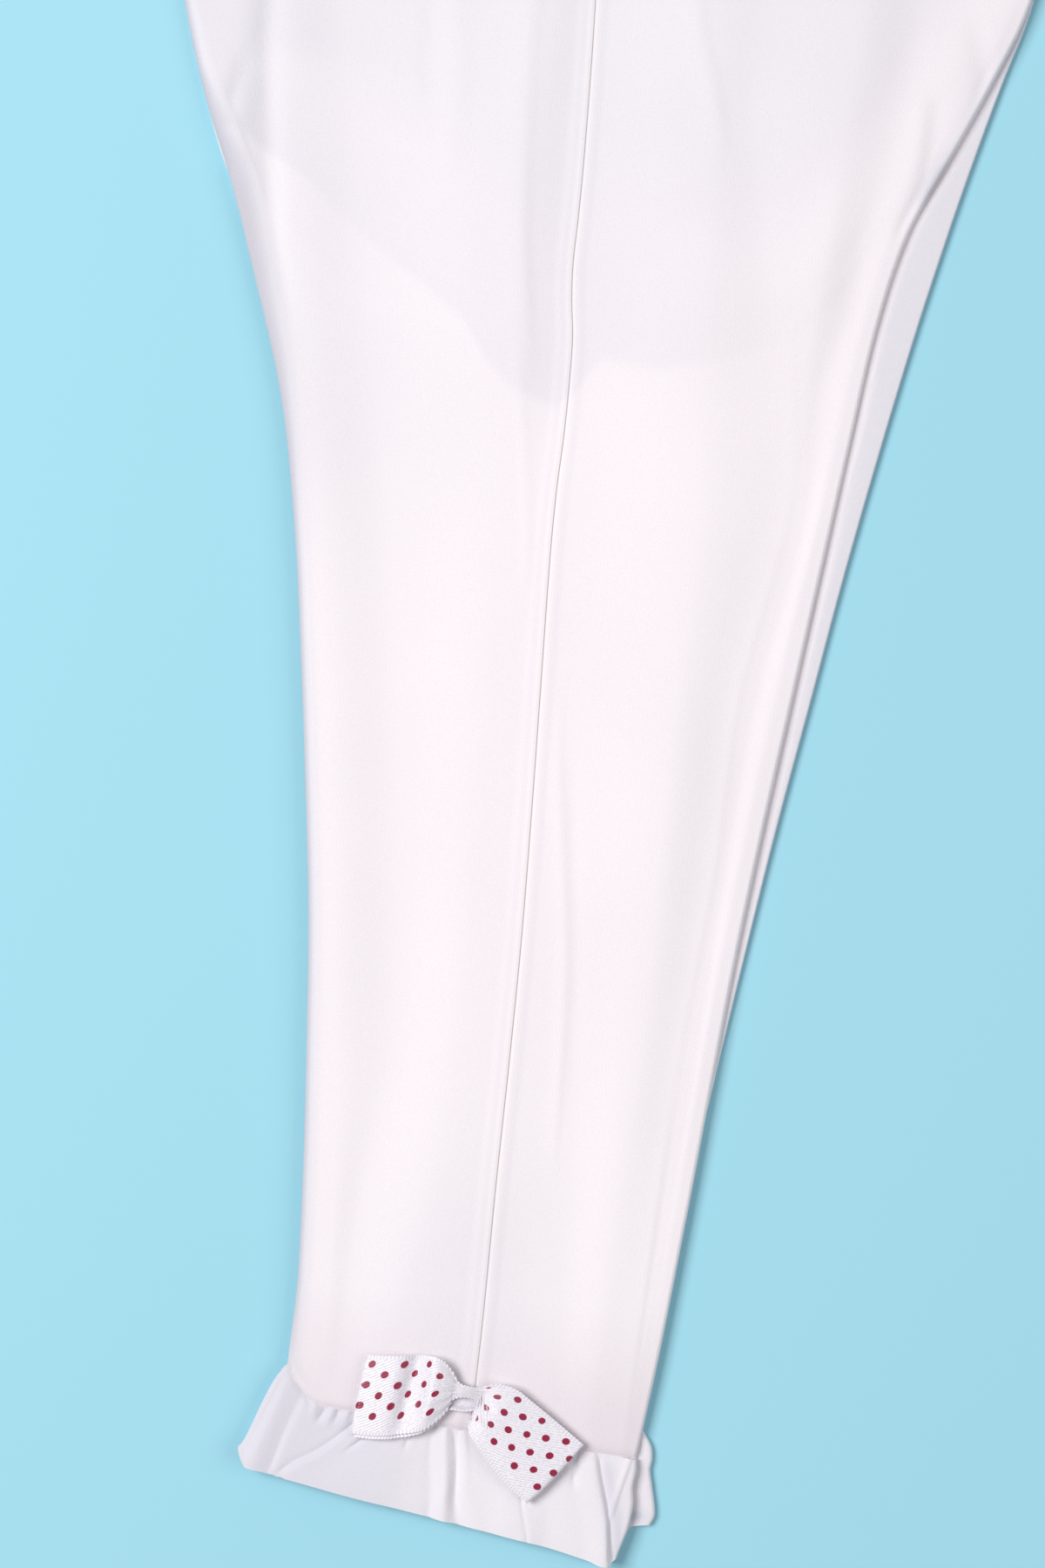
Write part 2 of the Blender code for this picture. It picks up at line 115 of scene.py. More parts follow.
# How far the top layer bends down towards its front fold, and how far at its back fold.
FRONT_TURN = (
    (-335, 2.5), (-160, 3.0), (-60, 3.6), (0, 6.0), (35, 8.5), (70, 6.0), (100, 4.0), (185, 3.0),
)
BACK_TURN = 1.0
TIGHT_SHARE = {-1: 0.4, 1: 0.12}  # how much of a fold's height is below its outermost line
FOLD_TURN = 1.4  # below that line a fold reaches in by no more than this
EDGE_SINK = 0.5  # the left leg's folds sink onto the right leg by this much
SINK_RUN = {-1: 14, 1: 30}  # the distance over which they do
BACK_PRESS = 0.9  # and its back fold is pressed flat
BACK_PINCH = 0.5  # more so just at the fold
BACK_PINCH_RUN = 6
SOFTEST = 0.3  # how gently a deep trough settles on the layer below
CROTCH_ALLOWANCE = 0.12  # the crotch seam's edges show through as a low ridge
CROTCH_ALLOWANCE_AT = 2
CROTCH_ALLOWANCE_WIDTH = 3.2
CROTCH_ALLOWANCE_ENDS = 1 / 6  # before a fold, as a share of the panel's width
HEM_LIP = 0.45  # the leg's cloth rolls over the ruffle's seam
HEM_LIP_AT = 2.5
HEM_LIP_WIDTH = 2.6
HEM_DIP = 0.6
HEM_DIP_WIDTH = 1.1
HEM_ROWS = (0, 0.3, 0.65, 1.05, 1.5, 2.1, 2.9, 4.0, 5.4)  # the rows are closer together there

# The outseam's edges are pressed open beneath it: their width in front and behind, how
# far they lift the cloth, the roll beside the seam and the groove of the seam itself.
PRESSED_WIDTH = {-1: 4.5, 1: 3.2}
PRESSED_HEIGHT = 0.22
PRESSED_FADE = 2.6  # they thin out over this width, which begins this far inside
PRESSED_FADE_INSIDE = 1.2
SEAM_ROLL = 0.07
SEAM_ROLL_AT = 1.1
SEAM_ROLL_WIDTH = 0.7
GROOVE = 0.14
GROOVE_WIDTH = 0.5
SEAM_COLUMNS = (0, 0.2, 0.45, 0.8, 1.2, 1.6, 2.0, 2.5, 3.0, 3.5, 4.0, 4.6, 5.3, 6.2)

# The soft folds down the trousers: crests and troughs listed from front to back,
# each as places y, x and its height there, from the hem up.
SOFT_FOLDS = (
    # The front fold's roll, and the trough behind it.
    ((-335, -66, 1.0), (-246, -69, 1.6), (-192, -74, 2.1), (-138, -80, 2.3), (-85, -87, 2.4),
     (-37, -93.5, 2.0), (6, -100, 1.3), (49, -106, 1.3), (70, -111, 1.5), (94, -114, 1.7), (180, -112, 1.2)),
    ((-335, -62, 1.0), (-270, -60, 0.6), (-245, -57, 0.4), (-218, -54, 0.2), (-163, -56, 0.0),
     (-110, -61, 0.0), (-56, -68, 0.0), (-13, -76, 0.1), (29, -84, 0.1), (72, -90, 0.1),
     (93, -96, 0.2), (180, -104, 0.4)),
    # The crest before the outseam, and the trough that runs down it and then behind it.
    ((-335, -50, 1.5), (-309, -46, 1.8), (-270, -38, 2.6), (-216, -34, 2.2), (-163, -33, 1.8),
     (-110, -33, 1.7), (-56, -34, 1.2), (-31, -33, 1.6), (-10, -35, 2.1), (33, -37, 2.8),
     (77, -37, 3.2), (98, -35, 3.3), (180, -36, 2.6)),
    ((-335, 6, 0.1), (-267, 4, 0.1), (-213, 3, 0.3), (-185, 2, 0.9), (-158, -6, 1.6), (-104, -14, 1.7),
     (-50, -18, 1.3), (-7, -19, 0.9), (36, -20, 1.2), (80, -21, 1.5), (104, -20, 1.7), (180, -20, 1.4)),
    # The broad crest of the back panel, the trough behind it and the crest beyond.
    ((-335, 19, 1.4), (-300, 19, 1.5), (-267, 20, 1.7), (-210, 23, 1.6), (-183, 24, 2.3),
     (-156, 23, 3.5), (-102, 24, 3.4), (-48, 26, 3.2), (-5, 22, 3.2), (38, 22, 3.8), (81, 19, 4.0),
     (103, 17, 4.2), (180, 12, 3.2)),
    ((-335, 27.5, 1.35), (-267, 31, 1.2), (-213, 34, 0.7), (-155, 40, 1.3), (-100, 43, 1.0),
     (-45, 53, 0.5), (-24, 54, 0.6), (0, 50, 1.2), (40, 40, 2.5), (83, 33, 3.1), (105, 35, 3.3),
     (180, 34, 2.5)),
    ((-335, 29, 1.2), (-213, 37, 0.5), (-155, 42.5, 0.9), (-100, 46, 0.6), (-45, 56, 0.2), (0, 55, 1.0),
     (41, 58, 3.1), (85, 61, 3.9), (107, 63, 3.9), (180, 60, 2.9)),
    # The trough that curves down from the seat, and the back fold's roll.
    ((-335, 30.5, 1.1), (-213, 40, 0.5), (-155, 44, 0.8), (-100, 49, 0.4), (-45, 59, 0.1), (-1, 62, 0.2),
     (21, 68, 0.5), (43, 71, 1.0), (87, 81, 1.3), (109, 82, 1.5), (180, 86, 1.5)),
    ((-335, 32, 1.0), (-213, 42.5, 0.9), (-154, 48.5, 1.3), (-100, 55, 1.1), (-44, 64, 0.9),
     (-1, 70.5, 0.8), (43, 78, 1.2), (88, 90, 1.6), (109, 96, 1.5), (180, 100, 1.2)),
)

# The sharper creases and ridges on them: the places x, y that each runs through from its
# low end to its high end, its width on either side, and its height, negative in a trough.
Crease = namedtuple("Crease", "path left_width right_width height")
CREASE_FADE = 0.22  # share of its length over which a crease dies out at each end
TOP_CREASES = tuple(Crease(*row) for row in (
    # The front panel, from its fold to the outseam.
    (((-129, 50), (-131, 61), (-128, 74), (-125, 88)), 2.5, 3.0, -1.0),
    (((-123, 48), (-126, 57), (-131, 70)), 2.0, 2.2, 0.7),
    (((-104, -5), (-106, 6), (-112, 27), (-115, 48), (-118, 70), (-120, 91), (-120, 140), (-118, 180)),
     4, 3.5, -1.3),
    (((-29, -20), (-32, 8), (-36, 40), (-38, 80), (-38, 110), (-38, 180)), 6, 2.0, 0.5),
    (((-67, 62), (-68.8, 80), (-70, 97), (-74, 140), (-78, 190)), 2.5, 4, -0.3),
    (((-62, 40), (-60, 62), (-60, 85), (-62.5, 107), (-64, 150), (-65, 200)), 4, 4, 0.35),
    (((-25, -80), (-26.3, -56), (-35, 8)), 1.6, 2.0, 0.2),
    # The back panel, from the outseam to its fold.
    (((24, 60), (23.5, 72), (19.5, 88), (14.6, 103), (11.5, 125), (10, 150)), 5.0, 1.1, 0.4),
    (((79, 36), (83, 54), (85.5, 70), (86, 92)), 3.0, 1.8, 0.25),
    (((79.0, 40), (82.4, 52), (86.4, 64), (88.0, 80), (88, 96)), 2.4, 6.0, -0.9),
    (((102, 76), (104, 92), (101, 104), (98, 118)), 3.5, 4.0, -0.7),
    (((-0.5, -262), (-1.2, -229), (-2.6, -191), (-5.1, -166), (-10, -125), (-11.5, -98)), 2.6, 1.1, 0.35),
    (((3.5, -245), (2, -214), (0, -180), (-3.3, -153), (-6.5, -115)), 1.2, 3.0, -0.2),
))

# The knit as the photo shows it at a fold's edge, over one leg, at the hips and over two
# legs. It lets a little light through, so it looks whiter the more cloth lies beneath it. The
# darker tones also carry painted shade: the edge tone is painted shade where a fold turns away
# from the light.
Tones = namedtuple("Tones", "edge one_leg hips two_legs")
LEG_TONES = Tones(
    edge=(0.580, 0.558, 0.618, 1), one_leg=(0.775, 0.745, 0.800, 1), hips=(0.868, 0.817, 0.868, 1),
    two_legs=(0.934, 0.868, 0.897, 1),
)
HEM_TINT = (0.816, 0.750, 0.790, 1)  # the cloth is creamier near its hem
HEM_TINT_FULL = -2  # below the hem's line
HEM_TINT_REACH = 42
SEAM_SHADE = (0.600, 0.530, 0.490, 1)  # the outseam's own fine line
SEAM_LINE_WIDTH = 0.32
SEAM_ALLOWANCE_AND_PAINTED_LIGHT = 1.03  # the cloth beside it is whiter, partly from the edges pressed open beneath it and partly painted light on its shoulders
SEAM_ALLOWANCE_LIGHT_WIDTH = 2.4
WALE = 0.66  # from one rib of the knit to the next
COURSE = 0.5  # and from one stitch of a rib to the next
STITCH_LEAN = 2.2  # which makes a stitch a V
COURSE_SHARE = 0.3  # of the ribs' relief
FUZZ = 1700.0  # the scale of the fibres that stand out of the cloth
FUZZ_SHARE = 1.1
FUZZ_TONES = (0.975, 1.015)  # from the darkest to the lightest
CLOUDS = 14.0  # the scale of the cloth's wider unevenness
CLOUD_TONES = (0.985, 1.01)
NOISE_RANGE = (0.3, 0.7)  # where most of a noise's values lie
KNIT_RELIEF = (0.22, 0.12)  # its strength and its depth
BELL_END = 3  # past this a bell curve is flat


def smooth(t):
    t = min(1.0, max(0.0, t))
    return t * t * (3 - 2 * t)


def mixed(a, b, share):
    return a + (b - a) * share


def bell(off):
    return math.exp(-off * off)


def spread(a, b, steps):
    """Places from a to b in even steps."""
    return [mixed(a, b, i / steps) for i in range(steps + 1)]


def straight(pairs, at, soft=False):
    """The value at a key, on lines between pairs of key and value, or softly from each to the next."""
    if at <= pairs[0][0]:
        return pairs[0][1]
    for (low, a), (high, b) in zip(pairs, pairs[1:]):
        if at <= high:
            share = (at - low) / (high - low)
            return mixed(a, b, smooth(share) if soft else share)
    return pairs[-1][1]


def curved(pairs, at):
    """The value at a key, on a smooth curve through pairs of key and value."""
    last = len(pairs) - 1
    at = min(max(at, pairs[0][0]), pairs[last][0])
    i = next(i for i in range(last) if at <= pairs[i + 1][0])
    near = [pairs[min(last, max(0, i + k))] for k in (-1, 0, 1, 2)]
    (y0, x0), (y1, x1), (y2, x2), (y3, x3) = near
    span = y2 - y1
    slope_1 = (x2 - x0) / (y2 - y0) * span
    slope_2 = (x3 - x1) / (y3 - y1) * span
    t = (at - y1) / span
    bend = (t**3 - 2 * t**2 + t) * slope_1 + (t**3 - t**2) * slope_2
    return mixed(x1, x2, smooth(t)) + bend


def crossed(path, y):
    """Where a path of places x, y crosses the row at y."""
    return curved([(up, x) for x, up in path], y)


EDGES = {name: [(row.y, getattr(row, name)) for row in SIDE_VIEW] for name in SideRow._fields[1:]}


def side(name, y):
    return curved(EDGES[name], y)


def outseam(y):
    return side("outseam", y) + curved(SEAM_SWAY, y)


def crotch_reach(y, forward):
    """Where the crotch seam is at height y, towards the front (-1) or the back (1)."""
    if y <= 0:
        return INSEAM_HEM_X * y / LEFT_HEM + forward * SEAM_GAP / 2
    return straight(sorted((up, x) for x, up in CROTCH_CURVE if x * forward >= 0), y)


def tilted(x, y, hem):
    """The real height of a point on the row at y: hem and waist aren't level."""
    near_hem = 1 - smooth((y - hem) / HEM_REACH)
    drop = HEM_SLOPE * (x - side("outseam", hem))
    if hem == LEFT_HEM:
        curl = min(HEM_CURL_MOST, max(0.0, (HEM_CURL_FROM - x) / HEM_CURL_WIDTH))
        drop += HEM_CURL * curl**2
    near_waist = smooth((y - WAIST_FROM) / (WAIST - WAIST_FROM))
    rise = WAIST_SLOPE * (x - side("outseam", WAIST))
    return y + near_hem * drop + near_waist * rise


def past_crotch(x, y):
    return y - straight(CROTCH_CURVE, x)


def support(x, y):
    """1 where four layers lie on each other, falling to 0 where there are two."""
    return 1 - smooth((past_crotch(x, y) - SUPPORT_BEYOND) / SUPPORT_FALL)


def soft_folds(y):
    """Where the soft folds cross the row at y, as pairs of place and height."""
    found = []
    for fold in SOFT_FOLDS:
        place = crossed([(x, up) for up, x, z in fold], y)
        height = crossed([(z, up) for up, x, z in fold], y)
        found.append((max(place, found[-1][0] + 1) if found else place, height))
    return found


def crossings(creases, y):
    """Where the creases cross the row at y, each with its widths and its height there."""
    found = []
    for path, left_width, right_width, height in creases:
        low, high = path[0][1], path[-1][1]
        if low < y < high:
            share = (y - low) / (high - low)
            fade = smooth(share / CREASE_FADE) * smooth((1 - share) / CREASE_FADE)
            found.append((crossed(path, y), left_width, right_width, height * fade))
    return found


def crease_height(x, found):
    total = 0.0
    for at, left_width, right_width, height in found:
        off = (x - at) / (left_width if x < at else right_width)
        if abs(off) < BELL_END:
            total += height * bell(off)
    return total


def outseam_height(away, forward):
    """The relief of the outseam at a distance from it."""
    past = away - PRESSED_WIDTH[forward] + PRESSED_FADE_INSIDE
    pressed = PRESSED_HEIGHT * (1 - smooth(past / PRESSED_FADE))
    roll = SEAM_ROLL * bell((away - SEAM_ROLL_AT) / SEAM_ROLL_WIDTH)
    return pressed + roll - GROOVE * bell(away / GROOVE_WIDTH)


def top_height(x, y, folds, creases):
    """The height of the top layer's middle, before the roll along its folds."""
    legs = support(x, y)
    near_waist = smooth((y - BAND_RISE_FROM) / (WAIST - BAND_RISE_FROM))
    hips = mixed(RIGHT_INNER + HIP_REST, BAND_HIGH, near_waist)
    flat = mixed(hips, LEFT_OUTER, legs)
    seam = outseam(y)
    forward = -1 if x < seam else 1
    fold = side("front" if forward < 0 else "back", y)
    share = min(1.0, max(0.0, (x - seam) / (fold - seam)))
    if forward > 0:
        flat -= BACK_PRESS * legs * (1 - smooth((fold - x) / SINK_RUN[forward]))
        flat -= BACK_PINCH * legs * (1 - smooth((fold - x) / BACK_PINCH_RUN))
    above_hem = y - LEFT_HEM
    rise = straight(folds, x, soft=True) * mixed(1, WAIST_RELIEF, near_waist)
    rise += crease_height(x, creases) * smooth((1 - share) / CREASE_MARGIN[forward])
    rise *= mixed(HEM_RELIEF, 1, smooth(above_hem / HEM_RELIEF_RUN))
    rise = (rise + math.sqrt(rise**2 + SOFTEST**2) - SOFTEST) / 2
    ledge = (past_crotch(x, y) - CROTCH_ALLOWANCE_AT) / CROTCH_ALLOWANCE_WIDTH
    rise += CROTCH_ALLOWANCE * bell(ledge) * smooth((1 - share) / CROTCH_ALLOWANCE_ENDS)
    rise += HEM_LIP * bell((above_hem - HEM_LIP_AT) / HEM_LIP_WIDTH)
    rise -= HEM_DIP * bell(above_hem / HEM_DIP_WIDTH)
    return flat + rise + outseam_height(abs(x - seam), forward)


def seam_plane(x, y):
    """The height at which the left half meets the right along the centre seams."""
    low = (RIGHT_OUTER + RIGHT_INNER) / 2
    high = (RIGHT_INNER + LEFT_INNER) / 2
    return mixed(low, high, support(x, y))


def panel_row(y, half, forward, steps, creases):
    """One row of a panel, from the outseam round the fold to the inseam.

    half is 1 for the left half, on top, and -1 for the right half. forward is -1 for a
    front panel and 1 for a back one. Above the join of the centre seam the row ends in
    the middle of the fold, and None stands for the points that it lacks.
    """
    hem = LEFT_HEM if half > 0 else RIGHT_HEM
    column = ("" if half > 0 else "right_") + ("front" if forward < 0 else "back")
    edge = side(column, y) - forward * KNIT_WALL / 2
    seam = outseam(y) + forward * SEAM_GAP / 2
    joined = y > (FRONT_JOIN if forward < 0 else BACK_JOIN)
    inner = LEFT_INNER if half > 0 else RIGHT_INNER
    creases = crossings(creases, y)
    folds = soft_folds(y)

    def outer(x):
        if half > 0:
            return top_height(x, y, folds, creases)
        return RIGHT_OUTER + max(0.0, crease_height(x, creases))

    outer_edge = outer(edge)
    end = inner
    if joined:
        end = seam_plane(edge, y) + half * CENTRE_GAP / 2
    elif half > 0:
        end = inner - EDGE_SINK
    # The fold's edge: wide and soft above, tight below.
    tight = abs(outer_edge - end) * (1 if joined else TIGHT_SHARE[forward])
    wide = abs(outer_edge - end) - (0 if joined else tight)
    tight_turn = min(tight * FLATNESS, FOLD_TURN)
    wide_turn = max(FOLD_TURN, abs(outer_edge - end) / 2 * FLATNESS)
    if half > 0:
        wide_turn = curved(FRONT_TURN, y) if forward < 0 else BACK_TURN
    start = edge - forward * wide_turn
    flat_end = start - forward * ROLL_WIDTH
    near = SEAM_COLUMNS if half > 0 else SEAM_COLUMNS[:1]
    xs = [seam + forward * away for away in near]
    xs += spread(xs[-1], flat_end, steps.run)[1:] + spread(flat_end, start, steps.roll)[1:-1]
    line = [(x, outer(x)) for x in xs]
    top = outer(start)
    for i in range(steps.arc + 1):
        angle = math.pi / 2 * i / steps.arc
        along = mixed(top, outer_edge, i / steps.arc)
        x = start + forward * wide_turn * math.sin(angle)
        line.append((x, along - half * wide * (1 - math.cos(angle))))
    if joined:
        points = [(x, tilted(x, y, hem), z) for x, z in line]
        return points + [None] * (steps.arc + steps.under)
    for i in range(1, steps.arc + 1):
        angle = math.pi / 2 * i / steps.arc
        x = edge - forward * tight_turn * (1 - math.cos(angle))
        line.append((x, end + half * tight * (1 - math.sin(angle))))
    turned = edge - forward * tight_turn
    reach = crotch_reach(y, forward)
    least = turned - forward * KNIT_WALL
    reach = min(reach, least) if forward > 0 else max(reach, least)
    for x in spread(turned, reach, steps.under)[1:]:
        line.append((x, mixed(end, inner, smooth(abs(turned - x) / SINK_RUN[forward]))))
    return [(x, tilted(x, y, hem), z) for x, z in line]


def deselected():
    bpy.ops.object.select_all(action="DESELECT")


# The knit's tone scale: from 0, painted shade at a fold's edge, to 1 over two legs, with the share of cloth
# beneath between.
OVER_ONE_LEG = 0.25
AT_HIPS = 0.5
MERGE_WITHIN = 0.01
SHARP_FROM = math.radians(50)  # the wall's rim stays sharp


def laid_cloth(name, lines, wall, material, painted_shade_and_print, closed=False, along=None, across=None):
    """Shapes a grid into cloth, a row of points for each line, and gives it its wall.

    The fifth argument gives each point a tone share: on the knit the share of the cloth
    beneath it, less painted shade and plus painted light; on the ribbon whether it is printed.
    The UV map holds the places across and along the cloth, in metres: across is that of each
    point of a line and along that of each line, or else they are measured along the line and
    by its height.
    """
    deselected()
    bpy.ops.mesh.primitive_grid_add(
        x_subdivisions=len(lines[0]) - 1, y_subdivisions=len(lines) - 1, size=1,
    )
    piece = bpy.context.object
    piece.name = piece.data.name = name
    mesh = piece.data
    places, flat, missing = [], [], []
    for i, line in enumerate(lines):
        last = line[0]
        run = 0.0
        for j, point in enumerate(line):
            missing.append(point is None)
            point = last if point is None else point
            run += math.dist(point, last)
            places.append(point)
            flat.append((across[j] if across else run, along[i] if along else point[1]))
            last = point
    mesh.vertices.foreach_set("co", [c * MM for place in places for c in place])
    corners = [flat[loop.vertex_index] for loop in mesh.loops]
    mesh.uv_layers[0].data.foreach_set("uv", [c * MM for corner in corners for c in corner])
    shares = mesh.attributes.new("painted_shade_and_print", "FLOAT", "POINT")
    shares.data.foreach_set("value", [painted_shade_and_print(*place) for place in places])
    mesh.update()
    bpy.ops.object.mode_set(mode="EDIT")
    bpy.ops.mesh.select_mode(type="VERT")
    bpy.ops.mesh.select_all(action="DESELECT")
    bpy.ops.object.mode_set(mode="OBJECT")
    mesh.vertices.foreach_set("select", missing)
    bpy.ops.object.mode_set(mode="EDIT")
    bpy.ops.mesh.delete(type="VERT")
    if closed:
        bpy.ops.mesh.select_all(action="SELECT")
        bpy.ops.mesh.remove_doubles(threshold=MERGE_WITHIN * MM)
    bpy.ops.object.mode_set(mode="OBJECT")
    thick = piece.modifiers.new("wall", "SOLIDIFY")
    thick.thickness = wall * MM
    thick.offset = 0
    thick.use_even_offset = False
    thick.use_quality_normals = True
    bpy.ops.object.modifier_apply(modifier=thick.name)
    bpy.ops.object.shade_smooth_by_angle(angle=SHARP_FROM)
    mesh.materials.append(material)
    return piece


def new_material(name, values):
    """A material and its shader, with the shader's inputs set by name."""
    material = bpy.data.materials.new(name)
    material.use_nodes = True
    shader = material.node_tree.nodes["Principled BSDF"]
    for key, value in values.items():
        shader.inputs[key].default_value = value
    return material, shader


def linked(tree, kind, inputs, **settings):
    """Adds a node to a material, with each input set or linked to another node's output."""
    node = tree.nodes.new(kind)
    for key, value in settings.items():
        setattr(node, key, value)
    for key, value in inputs.items():
        if isinstance(value, bpy.types.NodeSocket):
            tree.links.new(value, node.inputs[key])
        else:
            node.inputs[key].default_value = value
    return node


def figured(operation, *values):
    """What a Math node makes of values, at least one of which another node puts out."""
    tree = next(value.id_data for value in values if isinstance(value, bpy.types.NodeSocket))
    return linked(tree, "ShaderNodeMath", dict(enumerate(values)), operation=operation).outputs[0]


def plus(first, *others):
    for other in others:
        first = figured("ADD", first, other)
    return first


def minus(a, b):
    return figured("SUBTRACT", a, b)


def times(a, b):
    return figured("MULTIPLY", a, b)


def eased(value, low, high, start, end, curve="LINEAR"):
    """Goes from start to end as the value goes from low to high."""
    inputs = {"Value": value, "From Min": low, "From Max": high, "To Min": start, "To Max": end}
    return linked(value.id_data, "ShaderNodeMapRange", inputs, interpolation_type=curve).outputs[0]


def blended(share, a, b):
    """A colour between two, by share."""
    return linked(share.id_data, "ShaderNodeMix", {0: share, 6: a, 7: b}, data_type="RGBA").outputs[2]


def noise(place, scale, detail):
    inputs = {"Vector": place, "Scale": scale, "Detail": detail}
    return linked(place.id_data, "ShaderNodeTexNoise", inputs).outputs["Fac"]


def split(place):
    """The parts of a place: x, y and z."""
    return linked(place.id_data, "ShaderNodeSeparateXYZ", {"Vector": place}).outputs


def attribute(tree, name):
    return linked(tree, "ShaderNodeAttribute", {}, attribute_name=name).outputs["Fac"]


def finished(shader, colour, relief, strength, depth):
    """Links a shader to its colour and to its relief."""
    tree = colour.id_data
    tree.links.new(colour, shader.inputs["Base Color"])
    inputs = {"Height": relief, "Strength": strength, "Distance": depth * MM}
    tree.links.new(linked(tree, "ShaderNodeBump", inputs).outputs["Normal"], shader.inputs["Normal"])


def knit_material(name, tones, hem=None):
    """Cotton jersey: fine ribs down the cloth, a light fuzz, whiter over more layers, with painted shade and
    painted light.
    """
    material, shader = new_material(name, {
        "Roughness": 0.9, "Sheen Weight": 0.12, "Sheen Roughness": 0.6, "Specular IOR Level": 0.25,
    })
    tree = material.node_tree
    place = linked(tree, "ShaderNodeTexCoord", {}).outputs
    body = place["Object"]
    across, along, _ = split(place["UV"])
    # The ramp turns each point's share into a tone: the cloth beneath showing through, and painted shade at
    # its low end.
    ramp = linked(tree, "ShaderNodeValToRGB", {"Fac": attribute(tree, "painted_shade_and_print")})
    stops = ramp.color_ramp.elements
    stops[0].color = tones.edge
    stops[1].color = tones.two_legs
    stops.new(OVER_ONE_LEG).color = tones.one_leg
    stops.new(AT_HIPS).color = tones.hips
    colour = ramp.outputs["Color"]
    fuzz = noise(body, FUZZ, 2.0)
    clouds = eased(noise(body, CLOUDS, 2.0), *NOISE_RANGE, *CLOUD_TONES)
    tone = times(clouds, eased(fuzz, *NOISE_RANGE, *FUZZ_TONES))
    if hem:
        full, none = (LEFT_HEM + HEM_TINT_FULL) * MM, (LEFT_HEM + HEM_TINT_REACH) * MM
        colour = blended(eased(split(body)["Y"], full, none, 1.0, 0.0), colour, hem)
        # The panel's distance from its outseam is its place across.
        line = eased(across, 0.0, SEAM_LINE_WIDTH * MM, 1.0, 0.0, "SMOOTHSTEP")
        colour = blended(line, colour, SEAM_SHADE)
        # Partly painted light: the seam's shoulders are made lighter.
        reach = SEAM_ALLOWANCE_LIGHT_WIDTH * MM
        tone = times(tone, eased(across, reach / 2, reach, SEAM_ALLOWANCE_AND_PAINTED_LIGHT, 1.0, "SMOOTHSTEP"))
    shade = linked(tree, "ShaderNodeVectorMath", {0: colour, "Scale": tone}, operation="SCALE")
    # Each rib is a column of small V stitches.
    turn = 2 * math.pi / MM
    slant = figured("ABSOLUTE", figured("SINE", times(across, turn / WALE / 2)))
    course = figured("SINE", plus(times(along, turn / COURSE), times(slant, STITCH_LEAN)))
    relief = plus(slant, times(course, COURSE_SHARE), times(fuzz, FUZZ_SHARE))
    finished(shader, shade.outputs[0], relief, *KNIT_RELIEF)
    return material


Steps = namedtuple("Steps", "leg hips run roll arc under")
LEFT_STEPS = Steps(leg=230, hips=60, run=62, roll=8, arc=8, under=14)

# Painted shade: the cloth is darker at its folds' edges, where they turn away from the light, and over the
# front near its fold.
PAINTED_FOLD_FADE = 2.4
FRONT_FOLD_SHADE_WIDTH = (
    (-335, 6.2), (-60, 6.2), (-25, 7.5), (5, 10.0), (30, 13.0), (52, 13.0), (66, 8.0), (80, 4.0), (185, 4.0),
)
BACK_FOLD_PAINTED_LIGHT = 1.15  # painted light: the back fold's turn is painted lighter, against the shade it takes; the fold is pressed flat
# Painted shade over the front, strongest near its fold: how much, how wide, and the heights over which it
# comes in.
FRONT_SHADE = 0.7
FRONT_SHADE_WIDTH = 44
FRONT_SHADE_FROM = -90
FRONT_SHADE_RISE = 90
FRONT_PAINTED_SHADE = 0.16
# The hollow that runs up the front from the fold, darkened with painted shade: its places x, y.
HOLLOW = (
    (-119.0, 28), (-121.5, 37), (-122.8, 53), (-124.0, 69), (-123.0, 85), (-122.5, 100), (-121, 140),
    (-117, 190),
)
HOLLOW_SHADE = 0.14
HOLLOW_WIDTH = 5.5
HOLLOW_FROM = 25
HOLLOW_RISE = 20
# Painted shade above the bow, on either side of the outseam.
HEM_SHADE = 0.36
HEM_SHADE_X = -28
HEM_SHADE_WIDTH = 30
HEM_SHADE_FROM = -215
HEM_SHADE_RISE = 90
# The hollow where the seat's fold meets the leg's, at the back edge, darkened with painted shade:
# by height, how much painted shade it has and how far it reaches in.
NOOK_SHADE = ((40, 0.0), (50, 0.4), (60, 0.95), (68, 0.95), (78, 0.6), (100, 0.5), (125, 0.0))
NOOK_WIDTH = ((40, 3.5), (60, 5.0), (75, 6.5), (110, 10.0))
# Where the cloth beneath ends, as it shows through the top layer, and how clearly.
SHOWS_AT = (
    (-127, 62), (-103, 46), (-78, 27), (-52, 9), (-43, -4), (-34, -12), (-21, -16), (-16, -12),
    (-8, 0), (11, -2), (30, 3), (50, 12), (64, 28), (92, 80), (115, 122),
)
SHOWS_BY = (
    (-120, 0.35), (-90, 0.45), (-50, 0.7), (-20, 0.8), (0, 0.7), (25, 0.45), (60, 0.2), (110, 0.2),
)
SHOWS_WIDTH = 5
SHOWS_RUN = 70  # the rest of the change is slow


